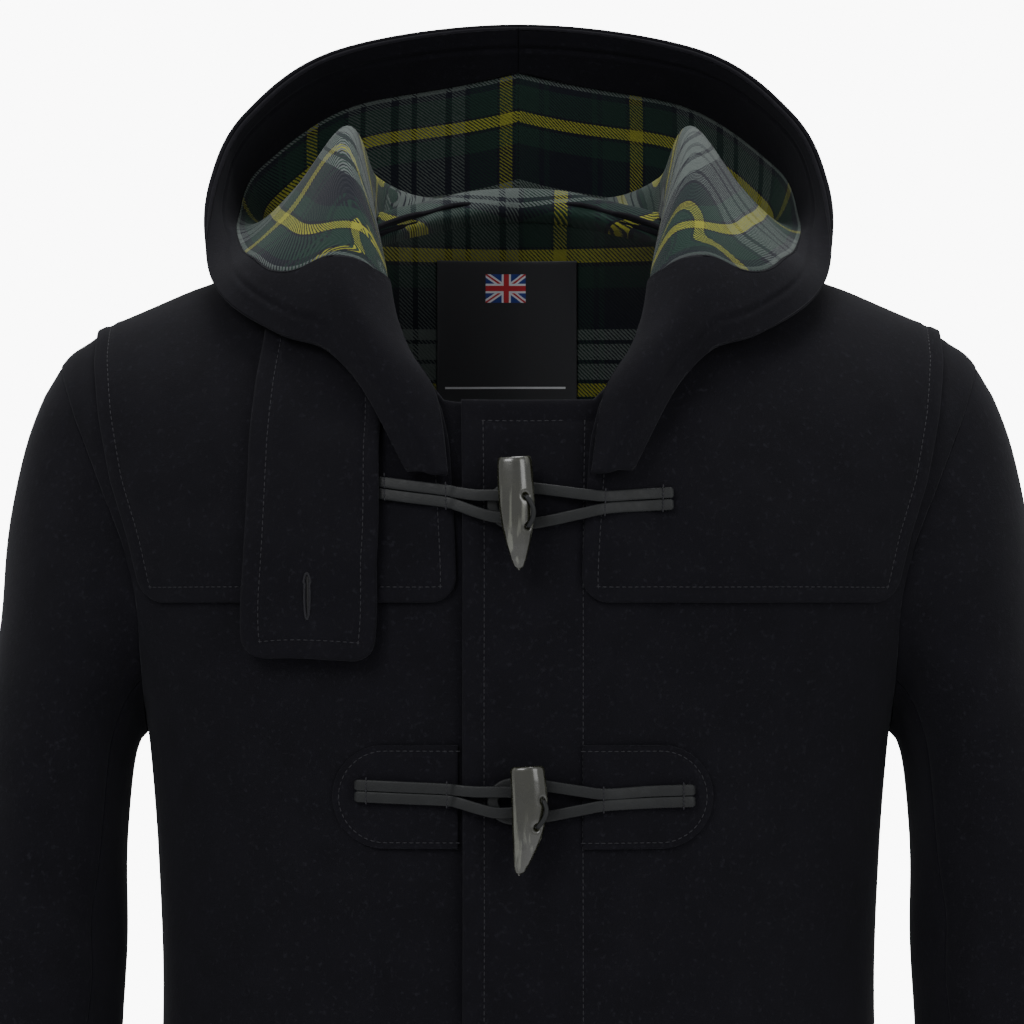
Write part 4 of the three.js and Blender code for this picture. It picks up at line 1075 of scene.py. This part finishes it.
# Patches and pockets
# Half-round melton patches take the pull of the lower three closures; two plain open pockets lie below.
PATCH_HALF = 27
PATCH_STITCH = 3.2
PATCH_THICK = 1.6
PATCH_GAP = LAYER_GAP * 0.3
POCKET_STITCH = 8
POCKET_HEM = 28
POCKET_CORNER = 16
CLOSURES = [
    {"top_x": -2, "tip_x": 0, "bow": 0, "middle": -141, "top": -120, "left": -74, "right": 79},
    {"top_x": 4, "tip_x": 0, "bow": 3, "middle": -294, "top": -278, "left": -84, "right": 90},
    {"top_x": 3, "tip_x": -1, "bow": 2, "middle": -447, "top": -431, "left": -84, "right": 90},
    {"top_x": 3, "tip_x": 0, "bow": 3, "middle": -600, "top": -584, "left": -84, "right": 90},
]


def front_lift(x, mark):
    return CLOTH + (lap_lift(x) if mark > 0 else 0)


def laid(name, x, z, mark, thick, gap, relief=0.0):
    """A cloth piece laid on a front: grids of distance and height, its thickness and its clearance."""
    points = body_point(x, z, -1)
    normals = grid_normals(points, (0, -1, 0))
    base = front_lift(x, mark) + gap
    return cloth(name, points, normals, base, base + thick + relief, MELTON), points


for number, closure in enumerate(CLOSURES[1:], 2):
    for side_name, mark, inner, outer in (("right", -1, -31.5, -96), ("left", 1, 33, 100)):
        rise = np.sin(np.linspace(-1, 1, 41) * math.pi / 2)[:, None]
        cut_back = PATCH_HALF * (1 - np.sqrt(np.maximum(0, 1 - rise**2)) * 0.999)
        end = outer - np.sign(outer) * cut_back
        share = np.concatenate([np.linspace(0, 0.8, 26), np.linspace(0.8, 1, 13)[1:]])[None, :]
        x = inner + (end - inner) * share
        z = closure["middle"] + PATCH_HALF * rise + 0 * x
        rim_gap = np.minimum(PATCH_HALF * (1 - np.abs(rise)), np.abs(end - x) * np.sqrt(1 - 0.96 * rise**2))
        relief = groove(rim_gap - PATCH_STITCH, 0.3, 0.9)
        name = f"toggle_patch_{number}_{side_name}"
        piece, points = laid(name, x, z, mark, PATCH_THICK, PATCH_GAP, relief)
        sewn(piece, points, [f"patch_{number}_{side_name}"])
        a = np.linspace(-1, 1, 60) * math.pi / 2
        round_x = outer - np.sign(outer) * (PATCH_HALF - (PATCH_HALF - PATCH_STITCH) * np.cos(a))
        round_z = closure["middle"] + (PATCH_HALF - PATCH_STITCH) * np.sin(a)
        x = np.concatenate([[inner], round_x, [inner]])
        z = np.concatenate([round_z[:1], round_z, round_z[-1:]])
        at = np.linspace(0, 1, 160)
        way = spread(np.stack([x, z], -1), at * arc(np.stack([x, z], -1))[-1])
        lift = front_lift(way[:, 0], mark) + PATCH_GAP + PATCH_THICK - 0.15
        THREAD_ROWS.setdefault("patch", []).append(on_body(way[:, 0], way[:, 1], -1, lift))

POCKET = {"inner": 62, "outer": 174, "top": -645, "bottom": -850}
for side_name, mark in (("left", 1), ("right", -1)):
    share = 1 - (1 - np.linspace(0, 1, 40)) ** 1.5
    x = (POCKET["inner"] + (POCKET["outer"] - POCKET["inner"]) * share)[None, :]
    z = np.linspace(POCKET["bottom"], POCKET["top"], 70)[:, None]
    x, z = np.broadcast_arrays(x, z)
    stand = 0.4 + 2.6 * ease((x - 110) / 60)
    points = body_point(x * mark, z, -1)
    low, high, inner_in, outer_in = edge_distances(points)
    nearest = np.minimum(np.minimum(low, inner_in), outer_in)
    relief = groove(nearest - POCKET_STITCH, 0.5) + groove(high - POCKET_HEM, 0.4)
    for corner in ((False, False), (False, True)):
        points = rounded_corner(points, *corner, POCKET_CORNER)
    normals = grid_normals(points, (0, -1, 0))
    base = front_lift(x * mark, mark) + stand
    piece = cloth(f"{side_name}_pocket", points, normals, base, base + CLOTH + relief, MELTON)
    sewn(piece, points, [f"pocket_{side_name}"])


# Leather cords
# Each closure has two flat waxed leather cords laid double: a strap on the right front, a loop on the left.
CORD_HALF_WIDTH = 2.95
CORD_HALF_THICK = 1.3
ON_LAP = LAP_LIFT + CLOTH + 0.6 + CORD_HALF_THICK
OVER_LOOP = ON_LAP + 2 * CORD_HALF_THICK + 0.7
TOGGLE_LENGTH = 56


def leather(name):
    shade = Shade(name)
    place = shade.object_place()
    grain = shade.noise(place, 900, 3)
    tone = shade.mix(shade.noise(place, 130, 3), (0.0020, 0.0024, 0.0026), (0.0065, 0.0075, 0.0082))
    rough = shade.noise(place, 300, 2) * 0.2 + 0.42
    return shade.surface(
        Base_Color=tone, Roughness=rough, Normal=shade.bump(grain, 0.0003, 0.4), Specular_IOR_Level=0.22
    )


LEATHER = leather("leather")


def swept(name, centres, ups, half_wide, half_thick, material, corner=5.0):
    """A strip of rounded oblong section along a path, closed at both ends, in millimetres."""
    ahead = unit(np.gradient(centres, axis=0))
    aside = unit(np.cross(ahead, ups))
    up = unit(np.cross(aside, ahead))
    turn = np.linspace(0, 2 * math.pi, 20, endpoint=False)
    c = np.sign(np.cos(turn)) * np.abs(np.cos(turn)) ** (2 / corner)
    s = np.sign(np.sin(turn)) * np.abs(np.sin(turn)) ** (2 / corner)
    size = np.ones(len(centres))
    size[0] = size[-1] = 0.72
    ring = aside[:, None] * (half_wide * c)[None, :, None] + up[:, None] * (half_thick * s)[None, :, None]
    points = centres[:, None] + ring * size[:, None, None]
    ends = np.stack([centres[0] - ahead[0] * 0.1, centres[-1] + ahead[-1] * 0.1])
    rows, cols = points.shape[:2]
    faces = []
    for i in range(rows - 1):
        for j in range(cols):
            k = (j + 1) % cols
            faces.append((i * cols + j, i * cols + k, (i + 1) * cols + k, (i + 1) * cols + j))
    head, tail = rows * cols, rows * cols + 1
    for j in range(cols):
        k = (j + 1) % cols
        faces.append((head, k, j))
        faces.append((tail, (rows - 1) * cols + j, (rows - 1) * cols + k))
    made = mesh_object(name, np.concatenate([points.reshape(-1, 3), ends]), faces, None, material)
    return made


def cord(name, stops):
    """A cord laid on the fronts through stops of distance, height and lift over the form."""
    stops = np.array(stops, float)
    at = np.linspace(0, len(stops) - 1, (len(stops) - 1) * 9 + 1)
    way = along([(k, *stop) for k, stop in enumerate(stops)], at)
    centres = on_body(way[:, 0], way[:, 1], -1, way[:, 2])
    ups = form_normal(way[:, 0], way[:, 1], -1)
    made = swept(name, centres, ups, CORD_HALF_WIDTH, CORD_HALF_THICK, LEATHER)
    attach(made, "root")
    return made


for number, closure in enumerate(CLOSURES, 1):
    middle, left, right = closure["middle"], closure["left"], closure["right"]
    layer = 0.7 + CORD_HALF_THICK + (CLOTH + LAYER_GAP if number == 1 else 1.9)
    tilt = 1.0 if number == 1 else 0.5
    right_lift = CLOTH + layer
    far_lift = float(front_lift(np.array(right), 1)) + layer
    near_lift = float(front_lift(np.array(44.0), 1)) + layer
    loop_half = [
        (right, 3.0, far_lift, 0.6), ((right + 44) / 2, 3.0, far_lift, 0.0), (44, 3.0, near_lift, -1.2),
        (32, 4.8, LAP_LIFT + CLOTH + layer, -1.6), (12, 8.2, ON_LAP + 1.0, -2.0), (-2, 9.4, ON_LAP, -2.0),
        (-10, 6.8, ON_LAP, -2.0),
    ]
    strap_half = [
        (left, 3.0, right_lift, 6.5 * tilt), ((left - 40) / 2, 3.0, right_lift, 4.6 * tilt),
        (-38, 3.0, right_lift, 2.6 * tilt), (-31, 3.2, ON_LAP + 0.4, 1.0 * tilt),
        (-22, 4.2, OVER_LOOP - 1, -1.2),
        (-12, 5.4, OVER_LOOP, -2.4), (-2, 4.8, OVER_LOOP, -2.4),
    ]
    for kind, half, tip in (("loop", loop_half, -13.4), ("strap", strap_half, 2.0)):
        upper = [(x, middle + drop + off, lift) for x, off, lift, drop in half]
        lower = [(x, middle + drop - off, lift) for x, off, lift, drop in half]
        bend = [(tip, middle + half[-1][3], half[-1][2])]
        made = cord(f"leather_{kind}_{number}", upper + bend + lower[::-1])
        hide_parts(f"{kind}_{number}")
        # transverse stitches near the cut ends and where the cords part
        away = 1 if kind == "loop" else -1
        for x, drop in ((half[0][0] - away * 6, half[0][3]), (half[2][0] - away * 1.0, half[2][3])):
            lift = (far_lift if kind == "loop" else right_lift) + CORD_HALF_THICK + 0.05
            if kind == "loop" and x < 50:
                lift = near_lift + CORD_HALF_THICK + 0.1
            across = np.linspace(-6.2, 6.2, 12)
            line = on_body(np.full(12, x), middle + drop + across, -1, lift)
            THREAD_ROWS.setdefault("cord", []).append(line)


# Horn toggles
# Four real-horn pegs, 56 mm long: cut flat above, curved to a blunt tip, polished, with two cord holes.
HORN_PROFILE = [
    (0, 8.3), (0.02, 8.8), (0.12, 9.2), (0.38, 9.3), (0.58, 8.2), (0.76, 6.1), (0.9, 3.9), (0.97, 2.2),
    (1, 0.3),
]


def horn(name):
    shade = Shade(name)
    place = shade.object_place()
    stretched = shade.node("ShaderNodeMapping", {}, place)
    stretched.out.node.inputs["Scale"].default_value = (1, 1, 0.06)
    streak = shade.noise(stretched, 330, 4)
    cloud = shade.noise(place, 70, 3)
    base = shade.mix(cloud, (0.002, 0.0023, 0.0014), (0.011, 0.0115, 0.005))
    light = ((streak - 0.56) * 9).math("MAXIMUM", 0.0).math("MINIMUM", 1.0)
    color = shade.mix(light, base, (0.055, 0.057, 0.045))
    return shade.surface(
        Base_Color=color, Roughness=shade.noise(place, 200, 2) * 0.15 + 0.2, Coat_Weight=0.5,
        Coat_Roughness=0.12, Normal=shade.bump(streak, 0.0004, 0.35),
    )


HORN = horn("horn")
HOLES = {1: ((4.9, 0.33), (5.3, 0.60), 9.6), 2: ((7.2, 0.30), (4.4, 0.55), 9.2)}
for number, closure in enumerate(CLOSURES, 1):
    s = 1 - (1 - np.linspace(0, 1, 90)) ** 1.15
    turn = np.linspace(0, 2 * math.pi, 73)[:-1]
    half = along(HORN_PROFILE, s)
    x = closure["top_x"] + (closure["tip_x"] - closure["top_x"]) * s + closure["bow"] * np.sin(math.pi * s)
    z = closure["top"] - TOGGLE_LENGTH * s
    centres = on_body(x, z, -1, OVER_LOOP + CORD_HALF_THICK + 0.3 + 7.1)
    # the face has two long shallow flats, which catch the light
    facet = 1 + 0.018 * np.cos(5 * turn + 0.6)
    px = half[:, None] * np.sign(np.cos(turn)) * np.abs(np.cos(turn)) ** 0.9 * facet
    py = half[:, None] * 0.76 * np.sign(np.sin(turn)) * np.abs(np.sin(turn)) ** 0.9 * facet
    points = centres[:, None] + np.stack([px, py, np.zeros_like(px)], -1)
    points[..., 2] += 0.06 * px * ease((0.1 - s) / 0.1)[:, None]
    first, second, bulge = HOLES[min(number, 2)]
    hole_spots = []
    for off, share in (first, second):
        k = int(np.argmin(np.abs(s - share)))
        face = math.sqrt(max(0, 1 - (off / half[k]) ** 2)) * half[k] * 0.76
        spot = centres[k] + (off, -face, 0)
        hole_spots.append(spot)
        away = np.linalg.norm((points - spot) * (1, 0.6, 0.9), axis=-1, keepdims=True)
        points = points + np.array([-0.5, 2.6, 0]) * np.exp(-((away / 1.5) ** 2))
    rows, cols = points.shape[:2]
    body = [
        (i * cols + j, (i + 1) * cols + j, (i + 1) * cols + (j + 1) % cols, i * cols + (j + 1) % cols)
        for i in range(rows - 1)
        for j in range(cols)
    ]
    inset = centres[0] + (points[0] - centres[0]) * 0.9 + (0, 0, 0.45)
    center = centres[0] + (0, 0, 0.1)
    base = rows * cols
    body += [(j, (j + 1) % cols, base + (j + 1) % cols, base + j) for j in range(cols)]
    body += [(base + j, base + (j + 1) % cols, base + cols) for j in range(cols)]
    body += [tuple((rows - 1) * cols + j for j in range(cols))]
    peg = mesh_object(
        f"horn_peg_{number}", np.concatenate([points.reshape(-1, 3), inset, center[None]]), body, None, HORN
    )
    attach(peg, "root")
    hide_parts(f"toggle_{number}")
    a, b = hole_spots
    mid = (a + b) / 2
    bulge_x = np.interp((first[1] + second[1]) / 2, s, x) + bulge
    crest = np.array([bulge_x, mid[1] - 0.2, mid[2]])
    t = np.linspace(0, 1, 25)[:, None]
    sunk = np.array([0, 0.8, 0])
    path = (1 - t) ** 2 * (a + sunk) + 2 * t * (1 - t) * (crest + (2.6, -1.6, 0)) + t**2 * (b + sunk)
    ups = np.repeat(np.array([[0.35, -0.94, 0.0]]), 25, 0)
    thong = swept(f"peg_thong_{number}", path, ups, 1.25, 1.0, LEATHER, 2.4)
    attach(thong, "root")

# Buttonhole
# A keyhole buttonhole in dark thread, upright in the throat tab: a ring of close stitches round a slit.
HOLE_HALF_LONG = 11.5
hole_x = -107.4
hole_z = -190.0
t = np.linspace(0, 1, 90, endpoint=False)
around = 2 * math.pi * t
half_slot = np.where(np.sin(around) > 0.55, 2.1, 1.35)
ring_x = hole_x + half_slot * np.cos(around)
ring_z = hole_z + HOLE_HALF_LONG * np.sin(around)
hole_lift = TAB_LIFT + TAB_THICK + 3.0 * ease((-196 - ring_z) / 30)
hole_line = on_body(ring_x, ring_z, -1, hole_lift + 0.1)

# Topstitching
# Dark thread in small even stitches along each groove; heavier stitches hold the cords.
def stitch_tool(name, material):
    """Geometry Nodes that lay short thread stitches along the edges of a mesh."""
    group = bpy.data.node_groups.new(name, "GeometryNodeTree")
    group.interface.new_socket("Lines", in_out="INPUT", socket_type="NodeSocketGeometry")
    sockets = {}
    for label in ("Pitch", "Length", "Thickness"):
        made = group.interface.new_socket(label, in_out="INPUT", socket_type="NodeSocketFloat")
        sockets[label] = made.identifier
    group.interface.new_socket("Stitches", in_out="OUTPUT", socket_type="NodeSocketGeometry")
    add = group.nodes.new
    link = group.links.new
    start, end = add("NodeGroupInput"), add("NodeGroupOutput")
    curve = add("GeometryNodeMeshToCurve")
    resample = add("GeometryNodeResampleCurve")
    resample.mode = "LENGTH"
    tangent = add("GeometryNodeInputTangent")
    align = add("FunctionNodeAlignRotationToVector")
    align.axis = "Z"
    thread = add("GeometryNodeMeshIcoSphere")
    thread.inputs["Radius"].default_value = 1.0
    thread.inputs["Subdivisions"].default_value = 2
    size = add("ShaderNodeCombineXYZ")
    place = add("GeometryNodeInstanceOnPoints")
    real = add("GeometryNodeRealizeInstances")
    paint = add("GeometryNodeSetMaterial")
    paint.inputs["Material"].default_value = material
    link(start.outputs["Lines"], curve.inputs[0])
    link(curve.outputs[0], resample.inputs["Curve"])
    link(start.outputs["Pitch"], resample.inputs["Length"])
    link(tangent.outputs[0], align.inputs["Vector"])
    link(start.outputs["Thickness"], size.inputs[0])
    link(start.outputs["Thickness"], size.inputs[1])
    link(start.outputs["Length"], size.inputs[2])
    link(resample.outputs[0], place.inputs["Points"])
    link(thread.outputs[0], place.inputs["Instance"])
    link(align.outputs[0], place.inputs["Rotation"])
    link(size.outputs[0], place.inputs["Scale"])
    link(place.outputs[0], real.inputs[0])
    link(real.outputs[0], paint.inputs[0])
    link(paint.outputs[0], end.inputs[0])
    return group, sockets


def thread_material(name, color):
    shade = Shade(name)
    return shade.surface(Base_Color=color, Roughness=0.7, Specular_IOR_Level=0.3)


THREAD = thread_material("dark_thread", (0.0045, 0.0045, 0.007))
STITCHER, STITCH_SOCKETS = stitch_tool("topstitching", THREAD)


def stitched(name, lines, pitch, length, thickness):
    """Makes one object of all the stitches along some polylines, in millimetres."""
    vertices = np.concatenate(lines) * MM
    edges, start = [], 0
    for line in lines:
        edges += [(start + k, start + k + 1) for k in range(len(line) - 1)]
        start += len(line)
    mesh = bpy.data.meshes.new(name)
    mesh.from_pydata(vertices.tolist(), edges, [])
    rows = bpy.data.objects.new(name, mesh)
    bpy.context.collection.objects.link(rows)
    step = rows.modifiers.new("stitches", "NODES")
    step.node_group = STITCHER
    for label, value in (("Pitch", pitch), ("Length", length), ("Thickness", thickness)):
        step[STITCH_SOCKETS[label]] = value * MM
    bpy.context.view_layer.update()
    done = bpy.data.meshes.new_from_object(rows.evaluated_get(bpy.context.evaluated_depsgraph_get()))
    rows.modifiers.clear()
    rows.data = done
    done.shade_smooth()
    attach(rows, "root")
    return rows


for name, lines in THREAD_ROWS.items():
    if name == "cord":
        stitched("cord_stitches", lines, 1.9, 0.95, 0.42)
    else:
        stitched(f"{name}_stitches", lines, 3.4, 1.35, 0.34)
stitched("buttonhole_stitches", [np.concatenate([hole_line, hole_line[:1]])], 0.62, 0.42, 0.75)
# The slit is a thin near-black sheet laid on the tab: painted shade standing for the dark opening of the cut.
slit_x = np.linspace(-0.55, 0.55, 5)[None, :] + hole_x + np.zeros((20, 1))
slit_z = np.linspace(-10.2, 10.2, 20)[:, None] + hole_z + np.zeros((1, 5))
slit_points = body_point(slit_x, slit_z, -1)
slit_lift = TAB_LIFT + TAB_THICK + 3.0 * ease((-196 - slit_z) / 30) - 0.3
SLIT_SHADE = thread_material("buttonhole_slit_shade", (0.001, 0.001, 0.0015))
slit_normals = grid_normals(slit_points, (0, -1, 0))
slit = cloth("buttonhole_slit_shade", slit_points, slit_normals, slit_lift, slit_lift + 0.45, SLIT_SHADE)
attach(slit, "root")
